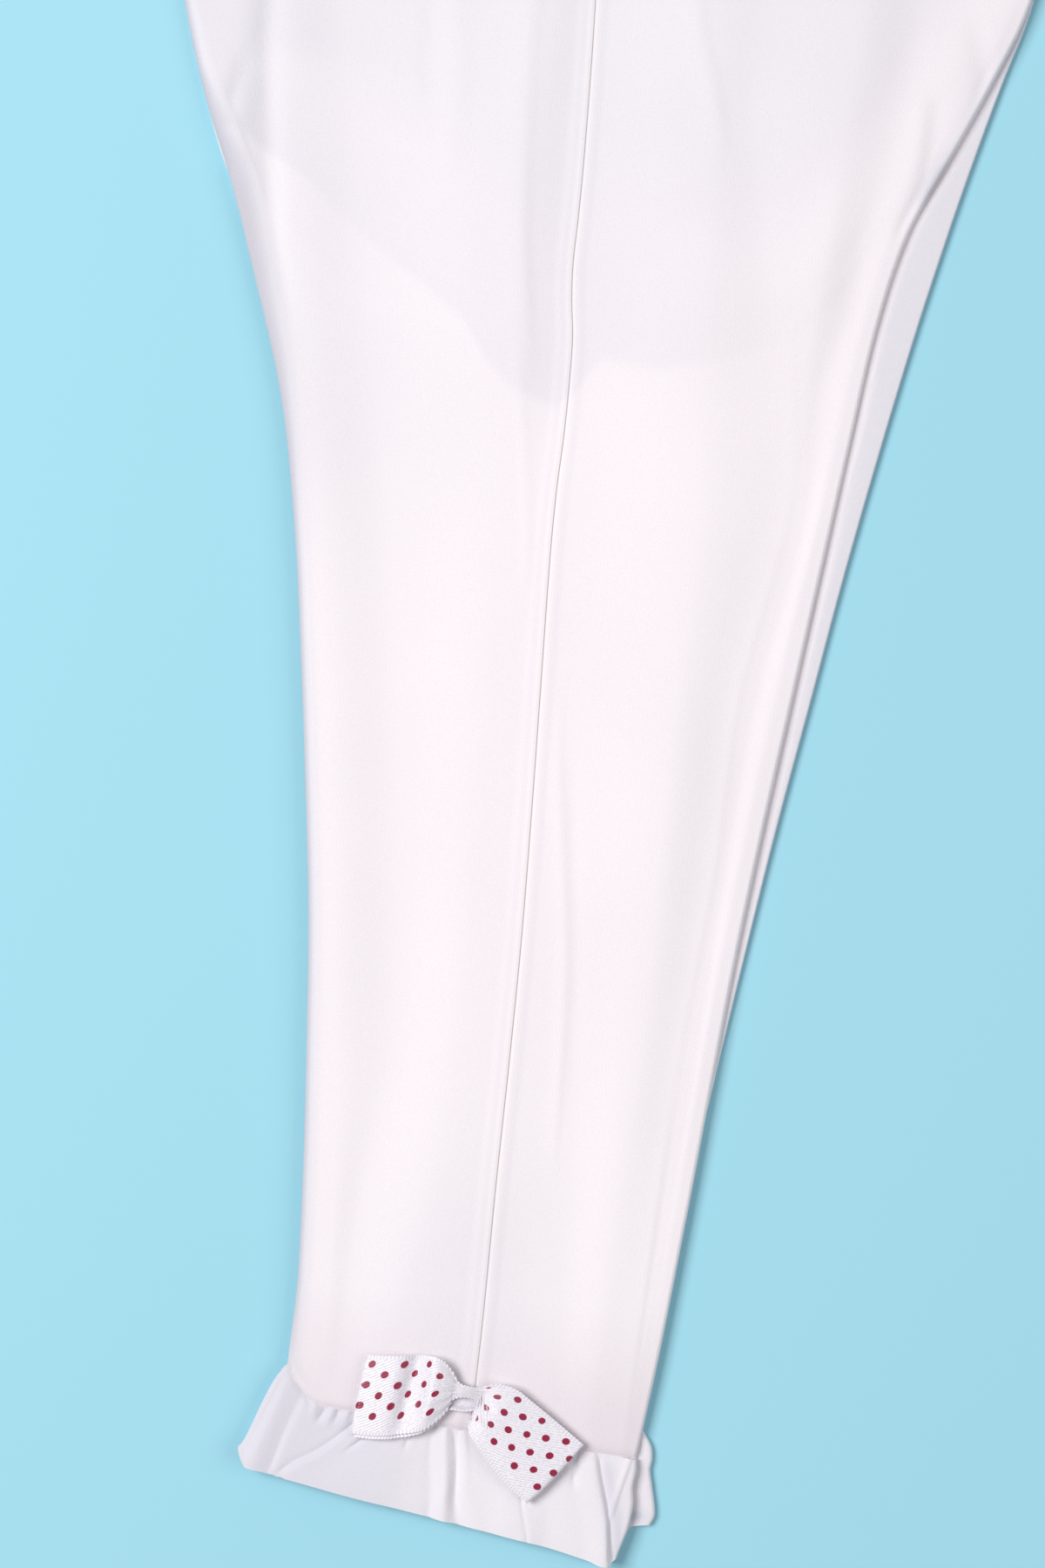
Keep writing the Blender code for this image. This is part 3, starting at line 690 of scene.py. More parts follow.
# The left leg's tone share: the cloth beneath showing through, less painted shade along the folds, over the
# front, in the hollows and above the bow, with painted light on the back fold.
def panel_layers_shade_and_light(x, y, z):
    past = y - straight(SHOWS_AT, x)
    step = straight(SHOWS_BY, x) * smooth((past + SHOWS_WIDTH / 2) / SHOWS_WIDTH)
    from_fold = x - side("front", y)
    front = bell(from_fold / FRONT_SHADE_WIDTH) * smooth((y - FRONT_SHADE_FROM) / FRONT_SHADE_RISE)
    # Painted shade low on a fold's turn, where it turns away from the light; on the back fold painted light
    # in its place.
    painted_fold_shade_and_light = smooth((z - seam_plane(x, y)) / PAINTED_FOLD_FADE)
    if x > outseam(y):
        painted_fold_shade_and_light = mixed(BACK_FOLD_PAINTED_LIGHT, 1, painted_fold_shade_and_light)
    hollow_shade = bell((x - crossed(HOLLOW, y)) / HOLLOW_WIDTH) * smooth((y - HOLLOW_FROM) / HOLLOW_RISE)
    hem = bell((x - HEM_SHADE_X) / HEM_SHADE_WIDTH) * smooth((HEM_SHADE_FROM - y) / HEM_SHADE_RISE)
    nook_shade = bell((side("back", y) - x) / straight(NOOK_WIDTH, y))
    painted_shade = HOLLOW_SHADE * hollow_shade + FRONT_PAINTED_SHADE * front + HEM_SHADE * hem + straight(NOOK_SHADE, y) * nook_shade
    fewer_layers_and_shade = min(1.0, max(smooth(past / SHOWS_RUN), step) + FRONT_SHADE * front)
    edge = painted_fold_shade_and_light * smooth(from_fold / straight(FRONT_FOLD_SHADE_WIDTH, y))
    return max(0.0, edge * (1 - AT_HIPS * fewer_layers_and_shade - painted_shade))


# What each panel was cut to: its greatest width, its length and its area.
Cut = namedtuple("Cut", "width length area")


def make_panel(half, forward, steps, creases, material, painted_shade_and_print):
    """A panel, with a row of points just at the join of its centre seam."""
    name = ("left" if half > 0 else "right") + ("_front" if forward < 0 else "_back")
    hem = LEFT_HEM if half > 0 else RIGHT_HEM
    join = FRONT_JOIN if forward < 0 else BACK_JOIN
    heights = [hem + up for up in HEM_ROWS]
    heights += spread(heights[-1], join, steps.leg)[1:] + spread(join, WAIST, steps.hips)[1:]
    lines = [panel_row(y, half, forward, steps, creases) for y in heights]
    cloth = laid_cloth(name + "_cloth", lines, KNIT_WALL, material, painted_shade_and_print)
    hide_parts(name)
    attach(cloth, "root")


leg_knit = knit_material("leg_knit", LEG_TONES, HEM_TINT)
for forward in (-1, 1):
    make_panel(1, forward, LEFT_STEPS, TOP_CREASES, leg_knit, panel_layers_shade_and_light)

# The right leg, beneath: the same two panels, lying flat on the surface. Its back edge
# shows past the left leg, greyer because only two layers of cloth lie there.
RIGHT_STEPS = Steps(leg=120, hips=34, run=40, roll=5, arc=7, under=30)
UNDER_CREASES = tuple(Crease(*row) for row in (
    (((-58, -300), (-54, -200), (-63, -90)), 7, 9, 0.40),
    (((-30, -70), (-35, 10), (-28, 95)), 6, 8, 0.45),
    (((18, -270), (24, -160), (38, -45)), 8, 6, 0.40),
    (((60, -20), (72, 45), (84, 118)), 6, 5, 0.40),
    (((-99, 20), (-110, 80), (-115, 160)), 5, 7, 0.35),
))
FOLD_PAINTED_LIGHT = 0.75  # painted light on the right leg beside the left leg's back fold, which lightens the shadow that the fold casts
BESIDE_FOLD = 2.0
FOLD_PAINTED_LIGHT_TO = 110
FOLD_PAINTED_LIGHT_FADE = 40
CROTCH_CHANGE = 6  # the tone changes over this much above the crotch seam


# The right leg's tone: the cloth beneath showing through above the crotch seam, and painted light beside the
# left leg's back fold.
def under_tone_and_painted_light(x, y, z):
    beside = (x - side("back", y)) / BESIDE_FOLD
    painted_light = FOLD_PAINTED_LIGHT * bell(beside) * smooth((FOLD_PAINTED_LIGHT_TO - y) / FOLD_PAINTED_LIGHT_FADE)
    return mixed(OVER_ONE_LEG, AT_HIPS, smooth(past_crotch(x, y) / CROTCH_CHANGE)) + painted_light


for forward in (-1, 1):
    make_panel(-1, forward, RIGHT_STEPS, UNDER_CREASES, leg_knit, under_tone_and_painted_light)

# The waistband: a casing of the same jersey, folded over an elastic and cover-stitched
# to the top of the panels. The elastic draws it in, so it is gathered all round.
BAND_HEIGHT = 27
BAND_NARROWS = 2  # at each end, from its lower edge to its upper one
BAND_GATHERS = 44
GATHER_STEPS = 6  # columns for each gather
GATHER_HEIGHT = 0.5
# The gathers aren't quite even: how they drift along the casing and up it, and how their
# height varies. Each is the size, the rate and the start of a wave.
DRIFT_ALONG = (0.9, 37, 0)
DRIFT_UP = (0.35, 5, 0)
VARIES = (0.4, 61, 2)
STITCH_LINES = (7.0, 14.0)  # the rows' heights above its lower edge
CHANNEL = 0.35  # the stitches pull it in by this much
CHANNEL_WIDTH = 0.8
BAND_ROWS = 36
BAND_TURN_STEPS = 10
BAND_UNDER_STEPS = 60
BAND_SETTLES = 0.35  # the share of its height in which it leaves the panels' folds
BAND_RADIUS = (BAND_HIGH - BAND_LOW) / 2
WAIST_FOLDS = soft_folds(WAIST)
WAIST_CREASES = crossings(TOP_CREASES, WAIST)
BAND_FRONT = side("front", WAIST) + BAND_WALL / 2 + BAND_RADIUS
BAND_BACK = side("back", WAIST) - BAND_WALL / 2 - BAND_RADIUS


def half_turn(steps, radius):
    """How far out and how far round each point inside a half turn is."""
    for i in range(1, steps):
        angle = math.pi * i / steps
        yield radius * math.sin(angle), radius * (1 - math.cos(angle))


def waved(wave, at):
    """A wave's height at a place."""
    size, rate, start = wave
    return size * math.sin(at * rate + start)


def band_top(across, up):
    """A place on the casing's top layer, by its share of the width and of the height."""
    x = mixed(BAND_FRONT + BAND_NARROWS * up, BAND_BACK - BAND_NARROWS * up, across)
    height = BAND_HEIGHT * up
    level = WAIST_SLOPE * (x - side("outseam", WAIST))
    phase = math.pi * BAND_GATHERS * across + waved(DRIFT_ALONG, across) + waved(DRIFT_UP, up)
    lift = GATHER_HEIGHT * math.sin(phase) ** 2 * (1 + waved(VARIES, across))
    channel = sum(bell((height - at) / CHANNEL_WIDTH) for at in STITCH_LINES)
    panels = top_height(x, WAIST, WAIST_FOLDS, WAIST_CREASES)
    z = mixed(panels, BAND_HIGH + lift, smooth(up / BAND_SETTLES))
    return x, WAIST + SEAM_GAP + height + level, z - CHANNEL * min(1, channel)


def band_lines():
    """The casing's rows, each along the top, round the back, beneath and round the front."""
    steps = BAND_GATHERS * GATHER_STEPS
    turn = list(half_turn(BAND_TURN_STEPS, BAND_RADIUS))
    columns = [(1, out, BAND_HIGH - down) for out, down in turn]
    columns += [(across, 0, BAND_LOW) for across in spread(1, 0, BAND_UNDER_STEPS)]
    columns += [(0, -out, BAND_LOW + up) for out, up in turn]
    lines = []
    for up in spread(0, 1, BAND_ROWS):
        line = [band_top(across, up) for across in spread(0, 1, steps)]
        for across, out, z in columns:
            x, y, _ = band_top(across, up)
            line.append((x + out, y + WAIST_SLOPE * out, z))
        lines.append(line + line[:1])
    return lines


casing_knit = knit_material("casing_knit", Tones(*(LEG_TONES.hips,) * 4))
waistband = laid_cloth(
    "waistband_casing", band_lines(), BAND_WALL, casing_knit, lambda x, y, z: AT_HIPS, closed=True,
)
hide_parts("waistband")
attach(waistband, "root")

# The casing's stitches: two rows of white cover stitch, which a machine has sewn through
# its layers. Each stitch is a short thread that sinks into the row's channel.
STITCH_LENGTH = 2.3
STITCH_PITCH = 2.8
STITCH_THICKNESS = 0.42
STITCH_SINK = 0.05
thread, _ = new_material("thread", {"Base Color": (0.80, 0.76, 0.80, 1), "Roughness": 0.6})


def stitch_row(number, height):
    """One row of stitches, laid on the casing's top at this height above its lower edge."""
    deselected()
    bpy.ops.mesh.primitive_uv_sphere_add(segments=8, ring_count=6, radius=0.5)
    row = bpy.context.object
    row.name = row.data.name = f"casing_stitches_{number}"
    bpy.ops.object.mode_set(mode="EDIT")
    bpy.ops.transform.resize(value=[c * MM for c in (STITCH_LENGTH, STITCH_THICKNESS, STITCH_THICKNESS)])
    bpy.ops.object.mode_set(mode="OBJECT")
    up = height / BAND_HEIGHT
    width = BAND_BACK - BAND_FRONT - 2 * BAND_NARROWS * up
    count = int(width / STITCH_PITCH)
    along = row.modifiers.new("along", "ARRAY")
    along.count = count
    along.use_relative_offset = False
    along.use_constant_offset = True
    along.constant_offset_displace = (STITCH_PITCH * MM, 0, 0)
    bpy.ops.object.modifier_apply(modifier=along.name)
    for point in row.data.vertices:
        x, y, z = point.co / MM
        place = band_top((x / STITCH_PITCH + 0.5) / count, up)
        point.co = Vector((place[0], place[1] + y, place[2] + BAND_WALL / 2 - STITCH_SINK + z)) * MM
    bpy.ops.object.shade_smooth()
    row.data.materials.append(thread)
    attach(row, "root")


for number, height in enumerate(STITCH_LINES):
    stitch_row(number, height)

# The ruffles: a strip of the jersey gathered into each hem and left to flare. The left
# one is on top. The right one shows past its back end, and both are single cloth.
FRONT_FLARE = (  # how far they reach past the leg's folds, by the share of the way down
    (0.0, 0.0), (0.15, 3.4), (0.35, 6.4), (0.6, 9.4), (0.85, 12.2), (0.94, 12.9), (1.0, 10.8),
)
BACK_FLARE = ((0.0, 0.0), (0.15, 0.3), (0.35, -0.3), (0.6, 0.2), (0.85, -0.8), (1.0, -3.6))
RIGHT_BACK_FLARE = (
    (0.0, 0.6), (0.18, 4.4), (0.33, 5.1), (0.42, 4.7), (0.6, 5.8), (0.9, 7.4), (1.0, 6.2),
)
RUFFLE_EDGE = (  # the left one's lower edge, as places x, y
    (-91.0, -347.5), (-88.5, -351.1), (-83.0, -352.6), (-55.4, -357.7), (-38.9, -360.4),
    (-22.0, -363.4), (-7.3, -365.7), (8.4, -368.4), (20.0, -371.0), (26.5, -372.3),
    (29.5, -368.0), (32.5, -361.7),
)
RIGHT_RUFFLE_RISE = ((-90, 9.0), (0, 6.0), (30, 1.0), (42, 3.0))  # x, and how much higher it ends
RIGHT_RUFFLE_INSET = 4.0  # its front end stays hidden beneath the left one
RUFFLE_GAP = 0.12  # between a ruffle and its hem
TURN_GAP = 0.25  # more where the leg's hem curls at the front
RUFFLE_SINK = 0.5  # it lies this much lower where the leg's hem rolls over it
SINK_SHARE = 0.1  # of the way down
# The share of the pleats' height that each layer of cloth has.
LAYER_WAVE = {"right_lower": 0.0, "right_upper": 0.2, "left_lower": 0.45, "left_upper": 1.0}
# The strip's facets lie between crests and troughs: where each leaves the seam and where
# it reaches the lower edge, and its height at either end.
Pleat = namedtuple("Pleat", "seam_x edge_x seam_height edge_height")
PLEATS = tuple(Pleat(*row) for row in (
    (-77.5, -91.0, 0.2, 0.6),
    (-75.5, -87.5, 0.4, 1.9),
    (-72.8, -81.6, 0.1, 0.9),
    (-70.3, -79.4, 0.5, 1.3),
    (-53.2, -77.8, 0.2, 1.1),
    (-50.4, -75.2, 0.7, 1.8),
    (-45.0, -55.0, 0.5, 2.6),
    (-32.5, -30.4, 0.0, 1.5),
    (-28.4, -24.8, 0.5, 2.4),
    (-24.6, -20.4, 0.0, 0.9),
    (-18.0, -13.0, 0.3, 1.4),
    (-7.0, -2.0, 0.4, 2.3),
    (4.0, 8.0, 0.3, 1.3),
    (13.5, 17.0, 0.0, 1.8),
    (19.0, 27.0, 0.6, 3.0),
    (20.4, 28.6, 0.0, 1.2),
    (31.5, 30.5, 0.4, 0.5),
))
# The gathers that pucker it: where each leaves the seam and reaches the edge, its width
# and height there, and how far down it dies out, or 9 where it runs all the way.
Gather = namedtuple("Gather", "seam_x edge_x seam_width edge_width seam_height edge_height reach")
GATHERS = tuple(Gather(*row) for row in (
    (-72.0, -80.6, 1.0, 1.3, -0.3, -0.3, 9),
    (-71.0, -65.0, 0.9, 1.1, -0.5, 0.0, 0.16),
    (-67.8, -74.0, 0.9, 1.4, 0.5, 0.0, 0.25),
    (-64.5, -76.0, 1.0, 1.3, -1.0, 0.0, 0.28),
    (-62.8, -68.0, 1.0, 1.4, 0.5, 0.0, 0.30),
    (-60.5, -68.0, 0.9, 1.2, -0.7, 0.0, 0.24),
    (-57.5, -66.0, 0.9, 1.4, 0.4, 0.0, 0.22),
    (-52.4, -77.6, 1.1, 1.3, -0.6, -0.4, 9),
    (-44.5, -71.5, 1.0, 1.4, -1.6, 0.0, 0.55),
    (-37.5, -44.0, 0.8, 1.6, -0.9, 0.0, 0.40),
    (-24.4, -20.8, 0.7, 2.2, -1.3, -0.4, 9),
    (-27.2, -25.6, 0.9, 1.8, 0.6, 0.3, 0.9),
    (-31.2, -30.6, 1.1, 2.6, -0.4, -0.6, 9),
    (-21.6, -17.0, 0.9, 2.6, 0.4, 0.2, 9),
    (1.5, 2.0, 0.8, 1.4, -0.5, 0.0, 0.30),
    (7.0, 9.5, 0.7, 1.4, -0.5, 0.0, 0.28),
    (13.0, 16.0, 1.1, 2.4, -1.3, 0.0, 0.45),
    (20.8, 28.9, 0.9, 1.3, -0.6, -0.5, 9),
    (30.5, 21.5, 0.8, 1.2, 0.6, 0.4, 0.7),
    # The strip's own seam.
    (-3.5, 0.0, 0.6, 0.6, -0.35, -0.35, 9),
))
RUFFLE_SWAY = 0.9  # how far the pleats stray from straight lines, and how often
SWAY_DOWN = 4.5
SWAY_ACROSS = 0.37
LEAST_FACET = 1.7  # no two crests or troughs are closer than this
PLEAT_RISE = 1.15  # the pleats are at their full height just before the edge
GATHER_FADE = 0.2  # the share of the way down over which a gather dies out
RuffleSteps = namedtuple("RuffleSteps", "upper lower turn rows")


def ruffle_folds(v):
    """Where the pleats cross the row at a share of the way down, with their heights."""
    found = []
    for pleat in PLEATS:
        place = mixed(pleat.seam_x, pleat.edge_x, v)
        height = mixed(pleat.seam_height, pleat.edge_height, min(1.0, v * PLEAT_RISE))
        found.append((max(place, found[-1][0] + LEAST_FACET) if found else place, height))
    return found


def ruffle_wave(x, v, folds):
    """How far the pleats and gathers lift the top layer at x, at a share of the way down."""
    x += RUFFLE_SWAY * v * math.sin(SWAY_DOWN * v + SWAY_ACROSS * x)
    total = straight(folds, x, soft=True)
    for gather in GATHERS:
        if v < gather.reach:
            width = mixed(gather.seam_width, gather.edge_width, v)
            off = (x - mixed(gather.seam_x, gather.edge_x, v)) / width
            if abs(off) < BELL_END:
                fade = smooth((gather.reach - v) / min(GATHER_FADE, gather.reach))
                total += mixed(gather.seam_height, gather.edge_height, v) * fade * bell(off)
    return total


def hem_below(x, hem):
    """Where a ruffle's seam is at x, just below the hem that it is sewn to."""
    under_hem = min(max(x, side("front", hem)), side("back", hem))
    turning = smooth((HEM_CURL_FROM - x) / HEM_CURL_WIDTH)
    return tilted(under_hem, hem, hem) - RUFFLE_GAP - TURN_GAP * turning


def ruffle_lines(name, steps):
    left = name == "left"
    hem = LEFT_HEM if left else RIGHT_HEM
    upper_z, lower_z = (LEFT_OUTER, LEFT_INNER) if left else (RIGHT_INNER, RIGHT_OUTER)
    inset, back_flare, rise, sink = 0.0, BACK_FLARE, ((0, 0.0), (1, 0.0)), RUFFLE_SINK
    if not left:
        inset, back_flare, rise, sink = RIGHT_RUFFLE_INSET, RIGHT_BACK_FLARE, RIGHT_RUFFLE_RISE, 0.0

    def upper(x, v):
        low = sink * (1 - smooth(v / SINK_SHARE))
        return upper_z + max(-sink, LAYER_WAVE[name + "_upper"] * ruffle_wave(x, v, folds) - low)

    def lower(x, v):
        return lower_z + max(0.0, LAYER_WAVE[name + "_lower"] * ruffle_wave(x, v, folds))

    lines = []
    for v in spread(0, 1, steps.rows):
        folds = ruffle_folds(v)
        front = side("front", LEFT_HEM) - curved(FRONT_FLARE, v) + inset
        back = side("back", LEFT_HEM) + curved(back_flare, v)
        front_turn = (upper(front, v) - lower(front, v)) / 2
        back_turn = (upper(back, v) - lower(back, v)) / 2
        start = front + KNIT_WALL / 2 + front_turn
        stop = back - KNIT_WALL / 2 - back_turn
        line = [(x, upper(x, v)) for x in spread(start, stop, steps.upper)]
        top = line[-1][1]
        turn = (top - lower(stop, v)) / 2
        line += [(stop + out, top - down) for out, down in half_turn(steps.turn, turn)]
        line += [(x, lower(x, v)) for x in spread(stop, start, steps.lower)]
        bottom = line[-1][1]
        turn = (upper(start, v) - bottom) / 2
        line += [(start - out, bottom + up) for out, up in half_turn(steps.turn, turn)]
        row = []
        for x, z in line:
            seam_y = hem_below(x, hem)
            row.append((x, mixed(seam_y, curved(RUFFLE_EDGE, x) + straight(rise, x), v), z))
        lines.append(row + row[:1])
    return lines[::-1]


RUFFLE_TONES = Tones(
    edge=(0.52, 0.53, 0.61, 1), one_leg=(0.745, 0.722, 0.790, 1), hips=(0.855, 0.812, 0.860, 1),
    two_legs=(0.855, 0.812, 0.860, 1),
)
GREYER_FROM = -18  # it's greyer towards the front, between these places
GREYER_TO = -66
# The shade in the wedge behind the last pleat, and in the hollow end of the right ruffle.
WEDGE_TOP = (21.5, -334)
WEDGE_LOW = (29.5, -366)
WEDGE_WIDTH = 2.6
WEDGE_SHADE = 0.24
WEDGE_BEGINS_OVER = 1 / 3
CAVITY = (34.0, -357.0)
CAVITY_SIZE = (3.2, 2.4)
CAVITY_SHADE = 0.45
ruffle_knit = knit_material("ruffle_knit", RUFFLE_TONES)


# Greyer towards the front, with painted shade in the wedge behind the last pleat.
def left_ruffle_tone_and_shade(x, y, z):
    down = (WEDGE_TOP[1] - y) / (WEDGE_TOP[1] - WEDGE_LOW[1])
    off = (x - mixed(WEDGE_TOP[0], WEDGE_LOW[0], down)) / WEDGE_WIDTH
    wedge = WEDGE_SHADE * bell(off) * smooth(down / WEDGE_BEGINS_OVER)
    near = smooth((x - GREYER_TO) / (GREYER_FROM - GREYER_TO))
    return mixed(OVER_ONE_LEG, AT_HIPS, near) - wedge


# Painted shade in the hollow end of the right ruffle.
def right_ruffle_cavity_shade(x, y, z):
    away = math.hypot((x - CAVITY[0]) / CAVITY_SIZE[0], (y - CAVITY[1]) / CAVITY_SIZE[1])
    return AT_HIPS - CAVITY_SHADE * bell(away)


for name, steps, painted_shade_and_print in (
    ("left", RuffleSteps(upper=300, lower=80, turn=9, rows=44), left_ruffle_tone_and_shade),
    ("right", RuffleSteps(upper=120, lower=60, turn=9, rows=24), right_ruffle_cavity_shade),
):
    lines = ruffle_lines(name, steps)
    ruffle = laid_cloth(name + "_ruffle_strip", lines, KNIT_WALL, ruffle_knit, painted_shade_and_print, closed=True)
    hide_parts(name + "_ruffle")
    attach(ruffle, "root")

# The bow: one length of 25 mm satin ribbon with crimson dots, its ends joined at the back
# to make two loops. Hand stitches pinch it in the middle and hold it to the hem.
RIBBON_WALL = 0.5
RIBBON_WIDTH = 25.0
RIBBON_STEPS = 26
SELVEDGE = 1.2
SELVEDGE_STEPS = 4
PICOT = 1.05  # from one loop of the selvedge to the next
PICOT_OUT = 0.10
PICOT_UP = 0.12
EDGES_APART = 0.85  # the layers lie this close along the ribbon's edges
EDGE_SHARE = 0.22  # of its width
BACK_PEEK_MOST = 1.5  # the back layer's upper edge lies lower by a share of its peek
BACK_PEEK_SHARE = 0.8
PINCH_X = -21.0  # the middle of the pinch, and the fine pleats that run out from it
PINCH_HEIGHT = 0.35
PINCH_FLAT = 1
PINCH_RISE = 3
PINCH_REACH = 13
PINCH_PLEATS = 2.5
SECTION_STEP = 0.27  # along the ribbon
COARSE_STEPS = 200  # enough to measure it
LEFT_LOOP_OUT = (-1.0, 0.12)  # the way that each loop's end bulges
RIGHT_LOOP_OUT = (0.76, -0.65)
# Sections across the ribbon, from the left loop's end to the right loop's: the upper and
# lower edge of the front layer, its height at the upper edge, in the middle and at the
# lower edge, the height of the back layer, and how far that shows below the front one.
BowSection = namedtuple(
    "BowSection", "upper_x upper_y lower_x lower_y upper_z middle_z lower_z back_z peek"
)
BOW_SECTIONS = tuple(BowSection(*row) for row in (
    (-52.7, -313.4, -55.4, -337.8, 9.3, 9.7, 9.6, 7.9, 1.1),
    (-48.0, -312.9, -50.4, -337.8, 10.1, 10.5, 10.2, 7.8, 1.2),
    (-42.2, -312.4, -45.6, -337.4, 10.6, 10.8, 10.5, 7.8, 1.3),
    (-37.9, -312.0, -41.9, -336.8, 8.5, 8.4, 9.9, 7.7, 1.3),
    (-34.9, -311.8, -37.6, -335.9, 9.4, 9.6, 10.2, 7.6, 1.1),
    (-32.0, -311.9, -33.9, -334.6, 11.2, 12.2, 10.0, 7.6, 0.9),
    (-29.0, -313.4, -30.0, -331.4, 10.7, 11.8, 9.6, 7.5, 0.9),
    (-26.5, -316.2, -27.4, -328.2, 9.8, 10.8, 9.2, 7.4, 0.8),
    (-24.4, -319.2, -25.7, -324.6, 9.4, 10.0, 9.4, 7.3, 3.6),
    (-20.6, -320.4, -21.2, -323.6, 9.6, 10.2, 9.8, 7.2, 4.6),
    (-17.5, -320.2, -18.0, -325.0, 9.3, 9.6, 9.5, 7.3, 2.5),
    (-14.6, -319.2, -18.9, -328.0, 9.9, 9.1, 9.6, 7.4, 0.5),
    (-11.4, -318.6, -20.3, -332.6, 10.4, 10.3, 9.9, 7.5, 0.0),
    (-6.7, -319.7, -18.4, -336.4, 10.0, 11.6, 10.4, 7.8, 0.0),
    (-1.0, -323.4, -14.6, -340.9, 9.6, 11.5, 10.6, 8.0, 0.0),
    (7.1, -329.0, -8.0, -348.2, 9.4, 11.2, 10.6, 8.3, 0.0),
    (15.2, -334.7, -0.7, -354.0, 9.6, 10.8, 10.6, 8.7, 0.0),
))


def ribbon_shares():
    """Places across the ribbon, closer together in its selvedges."""
    border = SELVEDGE / RIBBON_WIDTH
    near = spread(0, border, SELVEDGE_STEPS)[:-1]
    return near + spread(border, 1 - border, RIBBON_STEPS) + [1 - share for share in near[::-1]]


def bow_cut(at):
    """The section at a place along the bow, between the ones above."""
    return BowSection(*(curved(tuple(enumerate(column)), at) for column in zip(*BOW_SECTIONS)))


def bow_layer(cut, back):
    """The points across one layer of the bow."""
    upper = Vector((cut.upper_x, cut.upper_y))
    lower = Vector((cut.lower_x, cut.lower_y))
    down = (lower - upper).normalized()
    if back:
        lower += down * cut.peek
        upper += down * min(cut.peek, BACK_PEEK_MOST) * BACK_PEEK_SHARE
    from_pinch = abs((cut.upper_x + cut.lower_x) / 2 - PINCH_X)
    pleated = PINCH_HEIGHT * smooth((from_pinch - PINCH_FLAT) / PINCH_RISE)
    pleated *= 1 - smooth((from_pinch - PINCH_FLAT - PINCH_RISE) / PINCH_REACH)
    points = []
    for share in ribbon_shares():
        place = upper.lerp(lower, share)
        ends = mixed(cut.upper_z, cut.lower_z, share)
        if back:
            inside = smooth(min(share, 1 - share) / EDGE_SHARE)
            z = mixed(max(cut.back_z, ends - EDGES_APART), cut.back_z, inside)
        else:
            crown = cut.middle_z - (cut.upper_z + cut.lower_z) / 2
            z = ends + crown * (1 - (2 * share - 1) ** 2)
            z -= pleated * math.sin(math.pi * PINCH_PLEATS * 2 * share) ** 2
        points.append((place.x, place.y, z))
    return points


def ribbon_lines():
    """One closed ribbon: along the front layer, round a loop's end and back behind."""
    last = len(BOW_SECTIONS) - 1
    coarse = [bow_cut(at) for at in spread(0, last, COARSE_STEPS)]
    middles = [((cut.upper_x + cut.lower_x) / 2, (cut.upper_y + cut.lower_y) / 2) for cut in coarse]
    count = round(sum(map(math.dist, middles, middles[1:])) / SECTION_STEP)
    cuts = [bow_cut(at) for at in spread(0, last, count)]
    front = [bow_layer(cut, False) for cut in cuts]
    back = [bow_layer(cut, True) for cut in cuts]

    def loop_end(above, below, out):
        """Sections round the end of a loop, from the front layer to the back one."""
        height = above[0][2] - below[0][2]
        steps = max(4, round(math.pi * height / 2 / SECTION_STEP))
        sections = []
        for i in range(1, steps):
            turn = math.pi * i / steps
            share = (1 - math.cos(turn)) / 2
            section = []
            for (x0, y0, z0), (x1, y1, z1) in zip(above, below):
                push = (z0 - z1) / 2 * math.sin(turn)
                x = mixed(x0, x1, share) + out[0] * push
                y = mixed(y0, y1, share) + out[1] * push
                section.append((x, y, mixed(z0, z1, share)))
            sections.append(section)
        return sections

    ribbon = front + loop_end(front[-1], back[-1], RIGHT_LOOP_OUT)
    ribbon += back[::-1] + loop_end(front[0], back[0], LEFT_LOOP_OUT)[::-1]
    return ribbon + ribbon[:1]


def with_picots(sections):
    """Raises the loops of the woven selvedges along both edges of the ribbon."""
    shares = ribbon_shares()
    border = SELVEDGE / RIBBON_WIDTH
    run = 0.0
    middle = len(shares) // 2
    edged, runs = [], []
    for i, section in enumerate(sections[:-1]):
        if i:
            run += math.dist(section[middle], sections[i - 1][middle])
        runs.append(run)
        first, last = Vector(section[0]), Vector(section[-1])
        outward = (first - last).normalized()
        ahead = Vector(sections[i + 1][middle]) - Vector(section[middle])
        face = ahead.cross(outward).normalized()
        wave = math.sin(2 * math.pi * run / PICOT)
        row = []
        for share, point in zip(shares, section):
            edge = min(share, 1 - share)
            near = max(0.0, 1 - edge / border)
            side_sign = 1 if share < 0.5 else -1
            shift = outward * side_sign * PICOT_OUT * wave * near**2
            lift = face * PICOT_UP * wave * math.sin(math.pi * min(1.0, near)) if near > 0 else Vector()
            row.append(tuple(Vector(point) + shift + lift))
        edged.append(row)
    return edged + edged[:1], runs + [run + SECTION_STEP]


SATIN = (0.950, 0.915, 0.965, 1)
SATIN_SHADE = (0.745, 0.690, 0.780, 1)
CRIMSON = (0.310, 0.010, 0.050, 1)
SATIN_RELIEF = (0.5, 0.1)  # its strength and its depth
SATIN_RIDGE = 0.92  # from one ridge of the weave to the next
